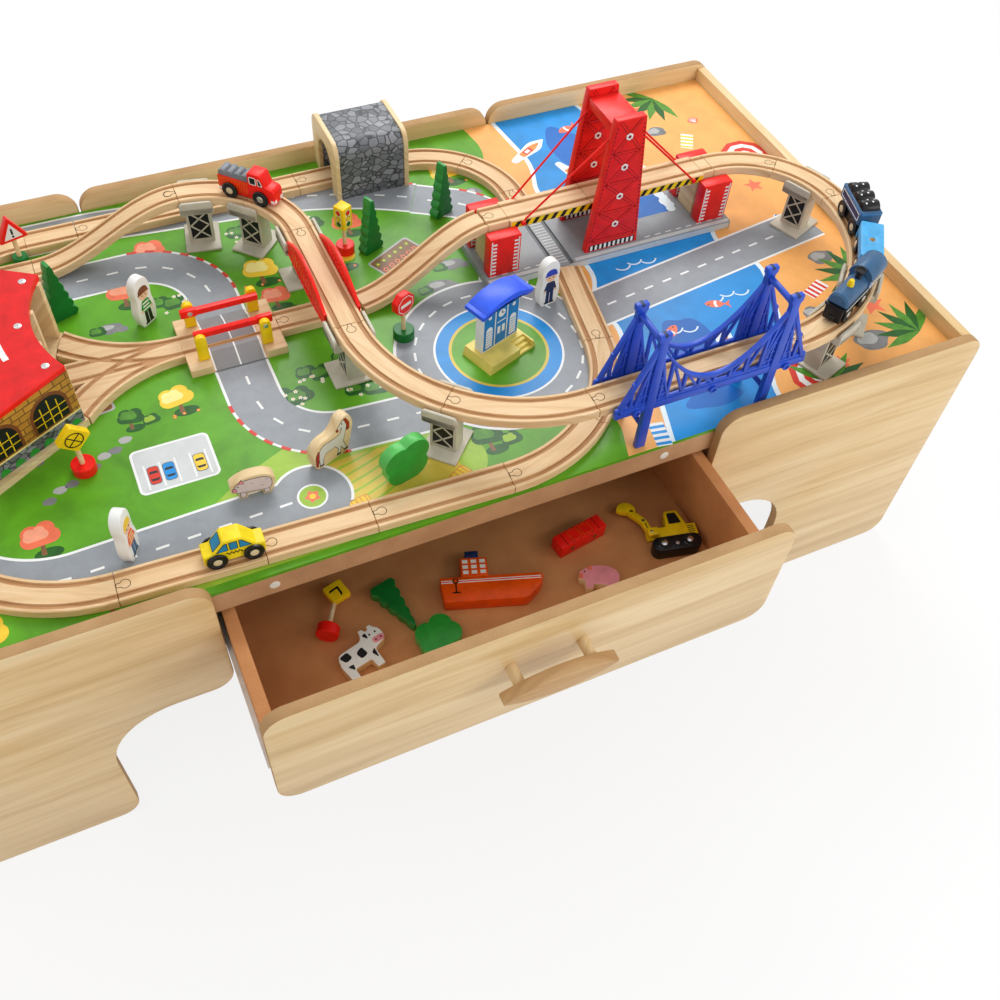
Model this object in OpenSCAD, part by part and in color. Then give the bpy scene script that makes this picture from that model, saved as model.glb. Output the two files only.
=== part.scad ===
// Train table with a drawer, a wooden railway laid on its board, and the toys that stand on it.
// Millimetres, +Z up, front towards -Y. The origin is on the floor, under the middle of the
// whole part with its drawer open as it stands at rest.

/* [Table] */
// Length over the panels
table_l = 1460; // [1400:10:1600]
// Depth over the panels
table_d = 725; // [700:5:780]
// Height of the panels' top edge above the floor
table_h = 438; // [420:2:480]
// How far the panels stand above the board
lip_h = 28; // [20:1:34]
// Thickness of the panels, rails and cheeks
panel_t = 15; // [12:1:18]
// Radius of the panels' corners
panel_r = 28; // [15:1:35]
// Width of a leg panel
leg_panel_w = 411; // [395:1:420]
// Width of a leg at the floor
leg_w = 250; // [220:5:280]
// Height of a leg panel's upper part
apron_h = 203; // [190:1:215]
// Radius of the hollow where a leg runs into the upper part
leg_hollow_r = 90; // [60:5:95]
// Thickness of the play board
board_t = 5; // [4:1:8]
// Height of the rails under the board
rail_h = 33; // [25:1:34]
// Height of the end rails
end_rail_h = 110; // [90:5:140]
// How far the end rails sit in from the panels' ends
end_rail_inset = 9; // [4:1:14]
// How far the end rails' tops lie below the panels' tops
end_rail_drop = 7; // [4:1:12]
// Distance of the cross battens from the table's middle
batten_x = 230; // [180:10:280]
// Height of the drawer cheeks
cheek_h = 120; // [110:2:130]
// Diameter of the screw caps
cap_d = 12; // [9:1:14]
// Height of the screw caps
cap_h = 1; // [0.6:0.1:1.2]

/* [Drawer] */
// How far the drawer stands open at rest
drawer_open = 168; // [120:2:220]
// Gap between the drawer front and a leg panel
front_gap = 2.5; // [2:0.5:5]
// Height of the drawer front and of the back centre panel
front_h = 190; // [180:2:200]
// Height of the drawer's sides
side_h = 115; // [100:1:116]
// Thickness of the drawer's sides and back
side_t = 15; // [12:1:18]
// Length of the drawer box behind its front
box_depth = 560; // [480:10:600]
// Thickness of the drawer's bottom
bottom_t = 5; // [4:1:8]
// How far the bottom sits above the sides' lower edge
bottom_up = 5; // [4:1:12]
// Side room that a runner pair takes
runner_room = 12.5; // [12.5:0.5:14]
// How far a cheek stands back behind a leg panel's inner end
cheek_back = 6.5; // [4:0.5:9]
// Sheet thickness of the runners
runner_t = 1.2; // [1:0.1:1.6]
// Height of a runner channel
channel_h = 30; // [28:1:34]
// Radius of the runner rollers
roller_r = 9; // [8:0.5:10]
// Running clearance of rollers and wheels
run_gap = 0.3; // [0.3:0.05:0.5]
// Length of the handle bar
handle_l = 148; // [120:2:180]
// Height of the handle bar at its middle
handle_h = 36; // [28:1:44]
// Distance between the handle posts
post_spacing = 88; // [70:2:100]
// Diameter of the handle posts
post_d = 14; // [12:0.5:16]
// Free length of the handle posts
post_l = 25; // [20:1:32]
// Height of the handle above the floor
handle_z = 364; // [340:1:370]

/* [Track] */
// Width of the track
track_w = 40; // [38:1:42]
// Thickness of the track
track_t = 12; // [11:0.5:13]
// Distance between the middles of the two grooves
gauge = 26; // [25:0.5:27]
// Width of a groove
groove_w = 6.5; // [6.3:0.1:7]
// Depth of a groove
groove_d = 2.5; // [2:0.25:3]
// Height of the raised track's underside above the board
raised_z = 70; // [66:1:76]
// Radius of the ground loop's curves
loop_r = 200; // [195:1:205]
// Radius of the raised curves
raised_r = 220; // [212:1:226]
// Radius of the tight curves
tight_r = 130; // [126:1:134]
// Radius of the shed turnout's side legs
fan_r = 190; // [186:1:198]
// Slant of the front row of straights
front_slant = 2.4; // [1:0.2:4]
// Diameter of a joint peg's head
peg_d = 12; // [11:0.5:13]
// Width of a joint peg's neck
peg_neck = 6; // [5:0.5:7]
// How far a joint peg reaches
peg_reach = 16; // [14:0.5:18]
// Play of a peg in its socket
peg_play = 0.4; // [0.3:0.1:0.6]
// Gap between two track pieces
joint_gap = 0.3; // [0.2:0.05:0.4]

/* [Buildings] */
// Height of the shed's walls with their floor
shed_wall_h = 97; // [90:1:105]
// Outer radius of the shed
shed_r = 298; // [285:1:305]
// Thickness of the shed's roof
shed_roof_t = 8; // [6:1:10]
// Height of the lift bridge's towers above the quay
tower_h = 205; // [180:5:230]
// Length of the lift bridge's deck
deck_l = 304; // [296:2:312]
// Width of the lift bridge's deck
deck_w = 46; // [44:1:48]
// Distance between the suspension bridge's towers
span_l = 174; // [160:2:190]
// Height of the suspension bridge's towers
span_h = 188; // [180:1:215]
// Length of the stone tunnel
tunnel_l = 112; // [100:2:116]
// Height of the stone tunnel
tunnel_h = 88; // [84:1:96]

/* [Vehicles] */
// Diameter of a wheel
wheel_d = 23; // [21:0.5:24]
// Width of a wheel
wheel_w = 3.2; // [3:0.1:3.4]
// Diameter of an axle
axle_d = 3.5; // [3:0.25:4]
// Radial play of an axle or pin in its bore
bore_play = 0.06; // [0.03:0.01:0.1]
// Distance between the axles of the train's vehicles and the taxi
wheel_base = 40; // [36:1:42]
// Distance between the truck's axles
truck_base = 46; // [40:1:46]
// Width of a vehicle between its wheels
chassis_w = 21.5; // [18:0.5:21.5]

/* [Hidden] */
$fn = 64;
EPS = 0.01;

// Table
board_z = table_h - lip_h;
board_l = table_l - 2 * (end_rail_inset + panel_t);
board_d = table_d - 2 * panel_t;
front_y = -table_d / 2;
board_front_y = -board_d / 2;
board_back_y = board_d / 2;
rail_z = board_z - board_t - rail_h;
opening_w = table_l - 2 * leg_panel_w;
centre_panel_w = opening_w - 2 * front_gap;
cheek_x = opening_w / 2 + cheek_back;
cap_x = min(batten_x + 20, opening_w / 2 - cap_d);

// Drawer
drawer_y = front_y - drawer_open;
box_w = 2 * (cheek_x - runner_room);
box_y = drawer_y + panel_t;
box_z = rail_z - side_h - 7;
drawer_floor_z = box_z + bottom_up + bottom_t;
front_z = table_h - 1 - front_h;
channel_z = box_z + 38;
flange_w = runner_room - 3 * runner_t - 0.5;
roller_l = runner_room - 2 * runner_t - 0.5;
drawer_flange_w = opening_w / 2 - box_w / 2 - runner_t - 0.5;
// In a narrower drawer the toys are drawn smaller, and in a wider one they lie further apart
toy_room = 596;
toy_k = min(1, (box_w - 2 * side_t) / toy_room);
toy_spread = max(1, (box_w - 2 * side_t) / toy_room);
handle_reach = post_l + panel_t;
origin_y = (drawer_open + handle_reach) / 2;

// Track heights
rail_top = track_t;
raised_top = raised_z + track_t;

// A pose is [x, y, heading]; a leg is [length, 0] or [radius, turn]
function step(p, leg) = leg[1] == 0
    ? [p.x + leg[0] * cos(p.z), p.y + leg[0] * sin(p.z), p.z]
    : let (s = sign(leg[1]), h = p.z + leg[1])
      [p.x + s * leg[0] * (sin(h) - sin(p.z)), p.y - s * leg[0] * (cos(h) - cos(p.z)), h];
function after(p, legs, n) = n == 0 ? p : step(after(p, legs, n - 1), legs[n - 1]);
function end_of(p, legs) = after(p, legs, len(legs));

// The railway is laid out on a board of this size and drawn in proportion on another board
set_l = 1412;
set_d = 695;
set_k = min(board_l / set_l, board_d / set_d);

// Raised run: ramp top, tight curve, arch straight, curve, bridge straight, curve, tight curve
raised_right_x = 654;
right_cx = raised_right_x - raised_r;
raised_front_y = -310;
ramp1_y = 233;
arch_x = -66;
arch_l = ramp1_y - tight_r - raised_front_y - raised_r;
bridge_l = right_cx - arch_x - raised_r;
raised_start = [arch_x - tight_r, ramp1_y, 0];
raised_legs = [[tight_r, -45], [tight_r, -45], [arch_l, 0], [raised_r, 45], [raised_r, 45],
    [bridge_l, 0], [raised_r, 45], [raised_r, 45], [tight_r, 45], [tight_r, 45]];
raised_end = end_of(raised_start, raised_legs);
lift_y = raised_end.y;
lead_l = 19;
tail_l = 32;
lift_x = raised_end.x - lead_l - deck_l / 2;

// Middle line: ramp 2, straight, level crossing, shed turnout
mid_y = 20;
crossing_l = 125;
crossing_d = 97;
crossing_x = -192.5;
ramp2_top = [lift_x - deck_l / 2 - tail_l, lift_y];
ramp2_run = 186;
ramp2_end = [ramp2_top.x - ramp2_run, mid_y];
ramp2_l = norm(ramp2_end - ramp2_top);
ramp2_h = 180 + atan2(lift_y - mid_y, ramp2_run);
ramp_wedge = track_w / 2 * sin(ramp2_h - 180);
shed_apex = [crossing_x - crossing_l / 2, mid_y];

// Quay and ground loop
quay_half_l = 195;
quay_front_y = lift_y - 54;
quay_back_y = lift_y + 58;
quay_track_x = lift_x - 80;
entry_h = 260;
front_start = [quay_track_x + 2, quay_front_y - track_w / 2 * sin(10) - 0.1, entry_h];
front_turn = entry_h - 180 + front_slant;
front_legs = [[146, 0], [loop_r, -front_turn / 2], [loop_r, -front_turn / 2],
    [167, 0], [127, 0], [159, 0], [loop_r, -(90 - front_slant) / 2],
    [loop_r, -(90 - front_slant) / 2]];
left_pose = end_of(front_start, front_legs);
back_y = 295;
left_l = back_y - loop_r - left_pose.y;
branch_pose = [left_pose.x, left_pose.y + left_l, 90];
branch_r = ramp1_y - branch_pose.y;
back_start = [left_pose.x + loop_r, back_y, 0];
tunnel_end_x = quay_track_x - tight_r;
back_rest = (tunnel_end_x - back_start.x - 68) / 3;
back_legs = [[68, 0], [back_rest, 0], [back_rest, 0], [back_rest, 0],
    [tight_r, -45], [tight_r, -45], [back_y - tight_r - quay_back_y, 0]];
ramp1_l = 203;
ramp1_x = raised_start.x - ramp1_l;

// Vehicles
axle_z = wheel_d / 2 - groove_d + run_gap;
dip = sqrt(pow(wheel_d / 2, 2) - pow(wheel_d / 2 - groove_d, 2));
function bow(r, base = wheel_base) = (base * base / 4 + dip * dip) / (2 * r);
train_centre = [right_cx, raised_front_y + raised_r];
function on_train(a) = [train_centre.x + (raised_r - bow(raised_r)) * sin(a),
    train_centre.y - (raised_r - bow(raised_r)) * cos(a), a];
loco_pose = on_train(25.7);
flat_wagon_pose = on_train(53);
coal_wagon_pose = on_train(74);
truck_r = tight_r - bow(tight_r, truck_base);
truck_a = 46;
truck_pose = [raised_start.x + truck_r * sin(truck_a),
    ramp1_y - tight_r + truck_r * cos(truck_a), -truck_a];
taxi_from = after(front_start, front_legs, 6);
taxi_at = 127.5;
taxi_pose = [taxi_from.x - taxi_at * cos(taxi_from.z), taxi_from.y - taxi_at * sin(taxi_from.z),
    taxi_from.z];

// Level crossing gates
post_x = 41;
post_y = 32;
gate_y = 21.5;
gate_z = track_t + 31;
pin_d = 4;
gate_w = 7;

// Frames of reference
module table() { translate([0, origin_y, 0]) children(); }
module on_board() { translate([0, origin_y, board_z]) scale(set_k) children(); }
module in_drawer() { translate([0, origin_y + box_y, drawer_floor_z]) scale(toy_k) children(); }
module at_pose(p, z = 0) { translate([p.x, p.y, z]) rotate([0, 0, p.z]) children(); }
module upright(t) { rotate([90, 0, 0]) linear_extrude(t, center = true) children(); }
module mirrored() { children(); mirror([1, 0, 0]) children(); }

// Flat shapes
module round_rect(w, h, r) {
    translate([r, 0]) square([w - 2 * r, h]);
    translate([0, r]) square([w, h - 2 * r]);
    for (x = [r, w - r], y = [r, h - r]) translate([x, y]) circle(r);
}
module bar2d(p, q, w) {
    translate(p) rotate(atan2(q.y - p.y, q.x - p.x)) translate([0, -w / 2]) square([norm(q - p), w]);
}
module rod(p, q, d) {
    v = q - p;
    translate(p) rotate([0, acos(v.z / norm(v)), atan2(v.y, v.x)]) cylinder(h = norm(v), d = d);
}
module sector(r0, r1, half_angle, h) {
    rotate([0, 0, 180 - half_angle]) rotate_extrude(angle = 2 * half_angle, $fn = 96)
        translate([r0, 0]) square([r1 - r0, h]);
}

// Table panels
module leg_panel_2d() {
    upper_z = table_h - apron_h;
    translate([0, upper_z]) round_rect(leg_panel_w, apron_h, panel_r);
    round_rect(leg_w, upper_z + 2 * panel_r, panel_r);
    translate([0, upper_z]) square([panel_r, panel_r]);
    difference() {
        translate([leg_w - 1, upper_z - leg_hollow_r]) square([leg_hollow_r + 1, leg_hollow_r + 1]);
        translate([leg_w + leg_hollow_r, upper_z - leg_hollow_r]) circle(leg_hollow_r);
    }
}
module leg_panel(y) {
    color("burlywood") table() translate([-table_l / 2, y + panel_t / 2, 0]) upright(panel_t)
        leg_panel_2d();
}
module front_left_panel() { leg_panel(front_y); }
module front_right_panel() { mirror([1, 0, 0]) leg_panel(front_y); }
module back_left_panel() { leg_panel(board_back_y); }
module back_right_panel() { mirror([1, 0, 0]) leg_panel(board_back_y); }
module centre_panel(y) {
    translate([-centre_panel_w / 2, y + panel_t / 2, front_z]) upright(panel_t)
        round_rect(centre_panel_w, front_h, panel_r);
}
module back_centre_panel() { color("burlywood") table() centre_panel(board_back_y); }
module end_rails() {
    color("tan") table() mirrored()
        translate([board_l / 2, board_front_y, table_h - end_rail_drop - end_rail_h])
            cube([panel_t, board_d, end_rail_h]);
}
module play_board() {
    color("yellowgreen") table() translate([-board_l / 2, board_front_y, board_z - board_t])
        cube([board_l, board_d, board_t]);
}
module board_rails() {
    color("sienna") table() {
        for (y = [board_front_y, board_back_y - panel_t])
            translate([-board_l / 2, y, rail_z]) cube([board_l, panel_t, rail_h]);
        for (x = [-batten_x, batten_x])
            translate([x - panel_t / 2, board_front_y + panel_t, rail_z])
                cube([panel_t, board_d - 2 * panel_t, rail_h]);
    }
}
module drawer_cheeks() {
    color("sienna") table() mirrored()
        translate([cheek_x, board_front_y, rail_z - cheek_h]) cube([panel_t, board_d, cheek_h]);
}
module runner_channels() {
    channel_l = box_depth + 10;
    color("white") table() mirrored() {
        translate([cheek_x - runner_t, board_front_y, channel_z]) cube([runner_t, channel_l, channel_h]);
        for (z = [0, channel_h - runner_t])
            translate([cheek_x - runner_t - flange_w, board_front_y + (z == 0 ? 24 : 0), channel_z + z])
                cube([flange_w + EPS, channel_l - (z == 0 ? 24 : 0), runner_t]);
        translate([cheek_x - runner_t + EPS, board_front_y + 12, channel_z + 12])
            rotate([0, -90, 0]) cylinder(h = roller_l, r = roller_r);
    }
}
module screw_caps() {
    color("white") table() {
        for (x = [-cap_x, cap_x])
            translate([x, board_front_y, rail_z + rail_h / 2]) rotate([90, 0, 0])
                cylinder(h = cap_h, d = cap_d);
        mirrored() for (y = [-1, 1])
            translate([board_l / 2 + panel_t, y * (board_d / 2 - 40), table_h - end_rail_drop - end_rail_h / 2])
                rotate([0, 90, 0]) cylinder(h = cap_h, d = cap_d);
    }
}

// Drawer
module drawer_front() { color("burlywood") table() centre_panel(drawer_y); }
module drawer_sides() {
    color("sienna") table() mirrored()
        translate([box_w / 2 - side_t, box_y, box_z]) cube([side_t, box_depth, side_h]);
}
module drawer_back() {
    color("sienna") table() translate([-box_w / 2 + side_t, box_y + box_depth - side_t, box_z])
        cube([box_w - 2 * side_t, side_t, side_h]);
}
module drawer_bottom() {
    color("peru") table() translate([-box_w / 2 + side_t, box_y, box_z + bottom_up])
        cube([box_w - 2 * side_t, box_depth - side_t, bottom_t]);
}
module handle_posts() {
    color("wheat") table() for (x = [-1, 1])
        translate([x * post_spacing / 2, drawer_y, handle_z]) rotate([90, 0, 0])
            cylinder(h = post_l, d = post_d);
}
module handle_bar() {
    lens_r = (handle_l * handle_l / 4 + handle_h * handle_h / 4) / handle_h;
    color("peru") table() translate([0, drawer_y - post_l - panel_t / 2, handle_z]) upright(panel_t)
        intersection() {
            translate([0, handle_h / 2 - lens_r]) circle(lens_r, $fn = 128);
            translate([0, lens_r - handle_h / 2]) circle(lens_r, $fn = 128);
            square([handle_l - 8, handle_h], center = true);
        }
}
module drawer_runners() {
    flange_z = channel_z + 12 + roller_r + run_gap;
    color("white") table() mirrored() {
        translate([box_w / 2, box_y, channel_z - 4])
            cube([runner_t, box_depth, flange_z + runner_t - channel_z + 4]);
        translate([box_w / 2 + runner_t - EPS, box_y, flange_z])
            cube([drawer_flange_w, box_depth, runner_t]);
        translate([box_w / 2 + runner_t - EPS, box_y + box_depth - 14,
            channel_z + runner_t + run_gap + roller_r]) rotate([0, 90, 0])
            cylinder(h = flange_w, r = roller_r);
    }
}

// Flat wooden toys, drawn upright with their feet at zero
module conifer_2d(h, w, tiers) {
    half = [for (i = [0:4 * tiers]) let (t = i / (4 * tiers))
        [w / 2 * (1 - 0.86 * t) * (1 - 0.16 * abs(sin(180 * tiers * t))), h * t]];
    polygon(concat(half, [for (i = [len(half) - 1:-1:0]) [-half[i].x, half[i].y]]));
}
module bush_2d(w, h) {
    r = h / 3.1;
    translate([-w * 0.28, 0]) square([w * 0.56, h * 0.6]);
    for (p = [[-w / 2 + r, r], [w / 2 - r, r], [-w / 5, h * 0.62], [w / 6, h * 0.66]])
        translate(p) circle(r);
}
module person_2d() {
    body = [for (i = [0:12]) let (t = i / 12) [10 + 7 * sin(150 * t + 10) - 2.5 * t, 46 * t]];
    polygon(concat(body, [for (i = [12:-1:0]) [-body[i].x, body[i].y]]));
    translate([0, 60]) circle(15);
    translate([-11, 40]) square([22, 14]);
}
module horse_2d() {
    polygon([[-21, 0], [-13, 0], [-11, 18], [8, 18], [10, 0], [18, 0], [20, 26], [25, 44], [33, 40],
        [37, 46], [28, 58], [20, 62], [15, 52], [10, 40], [-14, 40], [-22, 36], [-26, 14], [-22, 22]]);
}
module pig_2d() {
    translate([0, 20]) circle(16);
    translate([12, 20]) circle(14);
    translate([-12, 20]) circle(14);
    translate([-27, 14]) square([10, 10]);
    for (x = [-18, 8]) translate([x, 0]) square([10, 14]);
}
module cow_2d() {
    translate([-32, 14]) round_rect(48, 26, 8);
    for (x = [-30, 4]) translate([x, 0]) square([10, 20]);
    translate([6, 26]) round_rect(28, 24, 8);
    translate([10, 48]) square([6, 6]);
    translate([22, 48]) square([6, 6]);
}
module ship_2d() {
    polygon([[-62, 0], [42, 0], [62, 20], [66, 32], [60, 36], [-66, 36]]);
    translate([-38, 35]) square([34, 29]);
    translate([-31, 63]) square([17, 11]);
}
module lying(x, y, a, t) {
    translate([x * toy_spread, y, 0]) rotate([0, 0, a]) linear_extrude(t) children();
}
module sign_post(h, r) {
    cylinder(h = 14, r = r);
    cylinder(h = h, d = 6);
}
module drawer_toys() {
    in_drawer() {
        color("darkorange") lying(1, 117, -18, 20) ship_2d();
        color("red") translate([145 * toy_spread, 168, 0]) rotate([0, 0, 9.6]) difference() {
            translate([-36, -11, 0]) cube([72, 22, 22]);
            for (x = [-18, 18]) translate([x, 0, 11]) rotate([90, 0, 0]) cylinder(h = 30, d = 6, center = true);
        }
        color("green") lying(-120, 196, -166, 15) conifer_2d(74, 38, 5);
        color("limegreen") lying(-76, 82, 12, 15) bush_2d(56, 46);
        color("white") lying(-166, 87, 14, 14) cow_2d();
        color("pink") lying(133, 84, -26, 12) pig_2d();
        translate([-205 * toy_spread, 150, 14]) rotate([0, 0, 60]) rotate([0, 90, 0]) {
            color("red") sign_post(50, 14);
            color("gold") translate([-5, 0, 46]) rotate([45, 0, 0]) translate([0, -4, -4]) cube([10, 30, 30]);
        }
    }
}
exc_x = 259;
exc_y = 121;
exc_a = -12;
arm_pin = [-27, 8];
module excavator() {
    in_drawer() translate([exc_x * toy_spread, exc_y, 0]) rotate([0, 0, exc_a]) children();
}
module excavator_body() {
    excavator() {
        color("black") linear_extrude(20) translate([-32, -26]) round_rect(66, 22, 10);
        color("gold") translate([0, 0, 2]) linear_extrude(16) {
            translate([-18, -5]) square([52, 17]);
            polygon([[-6, 11], [22, 11], [16, 36], [-2, 36]]);
        }
        color("gold") for (z = [2, 14]) translate([arm_pin.x - 5, arm_pin.y - 6, z]) cube([15, 12, 4]);
        color("silver") translate([arm_pin.x, arm_pin.y, 2]) cylinder(h = 16, d = pin_d);
        color("silver") for (x = [-17, 18]) translate([x, -15, 19]) cylinder(h = 4, d = 9);
    }
}
module excavator_arm() {
    color("gold") excavator() translate([arm_pin.x, arm_pin.y, 6.4]) difference() {
        linear_extrude(7.2) {
            circle(5);
            bar2d([0, 0], [-4, 22], 9);
            translate([-4, 22]) circle(4.5);
            bar2d([-4, 22], [-18, 40], 9);
            translate([-22, 42]) rotate(-15) difference() {
                circle(13);
                translate([-14, -26]) square([28, 24]);
            }
        }
        translate([0, 0, -1]) cylinder(h = 10, d = pin_d + 2 * bore_play);
    }
}

// Track pieces, laid from the origin along +X
module track_section() {
    difference() {
        translate([-track_w / 2, 0]) square([track_w, track_t]);
        for (s = [-1, 1]) translate([s * gauge / 2 - groove_w / 2, track_t - groove_d])
            square([groove_w, groove_d + 1]);
    }
}
module peg_2d(play) {
    head_x = peg_reach - peg_d / 2;
    translate([head_x, 0]) circle(d = peg_d + 2 * play);
    translate([-2, -peg_neck / 2 - play]) square([head_x + 2, peg_neck + 2 * play]);
}
module peg() { linear_extrude(track_t) peg_2d(0); }
module socket() { translate([0, 0, -1]) linear_extrude(track_t + 2) peg_2d(peg_play); }
module plain_leg(leg) {
    if (leg[1] == 0) {
        rotate([90, 0, 90]) linear_extrude(leg[0]) track_section();
    } else {
        s = sign(leg[1]);
        mirror([0, s < 0 ? 1 : 0, 0]) translate([0, leg[0], 0]) rotate([0, 0, -90])
            rotate_extrude(angle = abs(leg[1]), $fn = 120) translate([leg[0], 0]) track_section();
    }
}
// A leg without its joint gap
function shorter(leg) = leg[1] == 0 ? [leg[0] - joint_gap, 0]
    : [leg[0], leg[1] - sign(leg[1]) * joint_gap / leg[0] * 180 / PI];
// Ends: 1 for a peg, -1 for a socket, 0 for a plain end
module track(leg, first, last) {
    end = step([0, 0, 0], leg);
    difference() {
        union() {
            plain_leg(last == 0 ? leg : shorter(leg));
            if (first == 1) rotate([0, 0, 180]) peg();
            if (last == 1) at_pose(end) peg();
        }
        if (first == -1) socket();
        if (last == -1) at_pose(end) rotate([0, 0, 180]) socket();
    }
}
// Draws a run's straights or its bends; dir is 1 where pegs point along the run, -1 against it
module run_of(start, legs, straight, dir) {
    n = len(legs);
    for (i = [0:n - 1]) if ((legs[i][1] == 0) == straight)
        at_pose(after(start, legs, i)) track(legs[i], i == 0 ? 0 : -dir, i == n - 1 ? 0 : dir);
}
module runs(straight) {
    on_board() {
        run_of(front_start, front_legs, straight, -1);
        run_of(back_start, back_legs, straight, 1);
        translate([0, 0, raised_z]) run_of(raised_start, raised_legs, straight, 1);
    }
}
module straight_tracks() {
    color("wheat") {
        runs(true);
        on_board() {
            at_pose(left_pose) {
                plain_leg([left_l / 2 - joint_gap, 0]);
                translate([left_l / 2, 0, 0]) plain_leg([left_l / 2, 0]);
            }
            translate([left_pose.x + branch_r, ramp1_y, 0])
                plain_leg([ramp1_x - left_pose.x - branch_r, 0]);
            translate([raised_end.x, lift_y, raised_z]) rotate([0, 0, 180]) plain_leg([lead_l, 0]);
            translate([ramp2_top.x, ramp2_top.y, raised_z]) plain_leg([tail_l, 0]);
            translate([crossing_x + crossing_l / 2, mid_y, 0])
                plain_leg([ramp2_end.x - ramp_wedge - crossing_x - crossing_l / 2, 0]);
        }
    }
}
module curved_tracks() {
    color("wheat") runs(false);
}
module ramp_2d(l) {
    n = 14;
    line = [for (i = [0:n]) [l * i / n, raised_z * (1 - cos(180 * i / n)) / 2]];
    polygon(concat([for (i = [n:-1:0]) line[i] + [0, track_t]], line));
}
module ramp(l) {
    difference() {
        upright(track_w) ramp_2d(l);
        for (s = [-1, 1]) translate([0, s * gauge / 2, track_t - groove_d]) upright(groove_w)
            ramp_2d(l);
    }
}
module ramp_tracks() {
    color("wheat") on_board() {
        translate([ramp1_x, ramp1_y, 0]) ramp(ramp1_l);
        at_pose([ramp2_end.x, ramp2_end.y, ramp2_h - 180]) ramp(ramp2_l - ramp_wedge);
    }
}
module shed_turnout() {
    reach = 151.5;
    color("wheat") on_board() translate([shed_apex.x, shed_apex.y, 0]) rotate([0, 0, 180])
        difference() {
            linear_extrude(track_t) intersection() {
                union() {
                    translate([0, -track_w / 2]) square([reach + 20, track_w]);
                    for (s = [-1, 1]) mirror([0, s < 0 ? 1 : 0]) translate([0, fan_r]) intersection() {
                        difference() {
                            circle(fan_r + track_w / 2, $fn = 120);
                            circle(fan_r - track_w / 2, $fn = 120);
                        }
                        translate([0, -fan_r - track_w]) square([fan_r, fan_r]);
                    }
                }
                circle(reach, $fn = 120);
                translate([0, -reach]) square([reach, 2 * reach]);
            }
            for (s = [-1, 1]) translate([-1, s * gauge / 2 - groove_w / 2, track_t - groove_d])
                cube([reach + 2, groove_w, groove_d + 1]);
            for (s = [-1, 1], r = [-1, 1]) mirror([0, s < 0 ? 1 : 0, 0])
                translate([0, fan_r, track_t - groove_d])
                    rotate([0, 0, -90]) rotate_extrude(angle = 60, $fn = 120)
                        translate([fan_r + r * gauge / 2 - groove_w / 2, 0]) square([groove_w, groove_d + 1]);
        }
}
module quarter_strip(r) {
    translate([0, r, 0]) rotate([0, 0, -90]) rotate_extrude(angle = 90, $fn = 120)
        translate([r - track_w / 2, 0]) square([track_w, track_t]);
}
module quarter_groove(r, side) {
    translate([0, r, track_t - groove_d]) rotate([0, 0, -91]) rotate_extrude(angle = 92, $fn = 120)
        translate([r + side * gauge / 2 - groove_w / 2, 0]) square([groove_w, track_t]);
}
module branch_turnout() {
    color("wheat") on_board() at_pose(branch_pose) mirror([0, 1, 0]) difference() {
        for (r = [loop_r, branch_r]) quarter_strip(r);
        for (r = [loop_r, branch_r], side = [-1, 1]) quarter_groove(r, side);
    }
}

// Level crossing
road_w = 70;
road_slope = 25;
module crossing_block() {
    color("wheat") on_board() translate([crossing_x, mid_y, 0]) difference() {
        translate([-crossing_l / 2, -crossing_d / 2, 0]) cube([crossing_l, crossing_d, track_t]);
        for (s = [-1, 1]) translate([-crossing_l, s * gauge / 2 - groove_w / 2, track_t - groove_d])
            cube([2 * crossing_l, groove_w, track_t]);
        for (a = [0, 180]) rotate([0, 0, a]) translate([0, -crossing_d / 2, 0]) rotate([90, 0, 90])
            linear_extrude(road_w, center = true)
                polygon([[-1, 2], [-1, track_t + 1], [road_slope + 2, track_t + 1], [road_slope, track_t]]);
    }
}
module post_2d() {
    translate([-7, 0]) square([14, 31]);
    translate([0, 31]) circle(7);
}
module crossing_posts() {
    color("gold") on_board() translate([crossing_x, mid_y, track_t]) {
        for (x = [-1, 1], y = [-1, 1]) translate([x * post_x, y * post_y, 0]) upright(8) post_2d();
        for (a = [0, 180]) rotate([0, 0, a]) translate([post_x, -post_y + 4, gate_z - track_t])
            rotate([-90, 0, 0]) cylinder(h = post_y - 4 - gate_y + gate_w / 2 + 1, d = pin_d);
    }
}
module gate_bar() {
    translate([0, 0, gate_z]) difference() {
        translate([post_x, -gate_y, 0]) upright(gate_w) {
            translate([-2 * post_x - 6, -4]) square([2 * post_x, 8]);
            translate([-8, -5.5]) square([20, 11]);
        }
        translate([post_x, -gate_y, 0]) rotate([90, 0, 0])
            cylinder(h = 20, d = pin_d + 2 * bore_play, center = true);
    }
}
module gate_bar_near() { color("red") on_board() translate([crossing_x, mid_y, 0]) gate_bar(); }
module gate_bar_far() {
    color("red") on_board() translate([crossing_x, mid_y, 0]) rotate([0, 0, 180]) gate_bar();
}

// Pillars with a base plate, a column and a saddle whose cheeks hold the track
saddle_l = 44;
module pillar() {
    column_top = raised_z - 10;
    translate([-24, -30, 0]) cube([48, 60, 4]);
    translate([-17, -12, 0]) cube([34, 24, column_top + 1]);
    translate([-saddle_l / 2, -track_w / 2 - 7, column_top]) cube([saddle_l, track_w + 14, 10]);
    for (s = [-1, 1]) translate([0, s * (track_w / 2 + 5), column_top]) upright(4)
        translate([-saddle_l / 2, 0]) round_rect(saddle_l, 19, 4);
}
pillar_poses = [
    step(raised_start, [tight_r, -10.5]),
    after(raised_start, raised_legs, 1),
    after(raised_start, raised_legs, 2),
    after(raised_start, raised_legs, 3),
    after(raised_start, raised_legs, 4),
    step(after(raised_start, raised_legs, 6), [raised_r, 20]),
    after(raised_start, raised_legs, 7),
    step(after(raised_start, raised_legs, 8), [tight_r, 22])];
module track_pillars() {
    color("lightgray") on_board() for (p = pillar_poses) at_pose(p) pillar();
}

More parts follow.
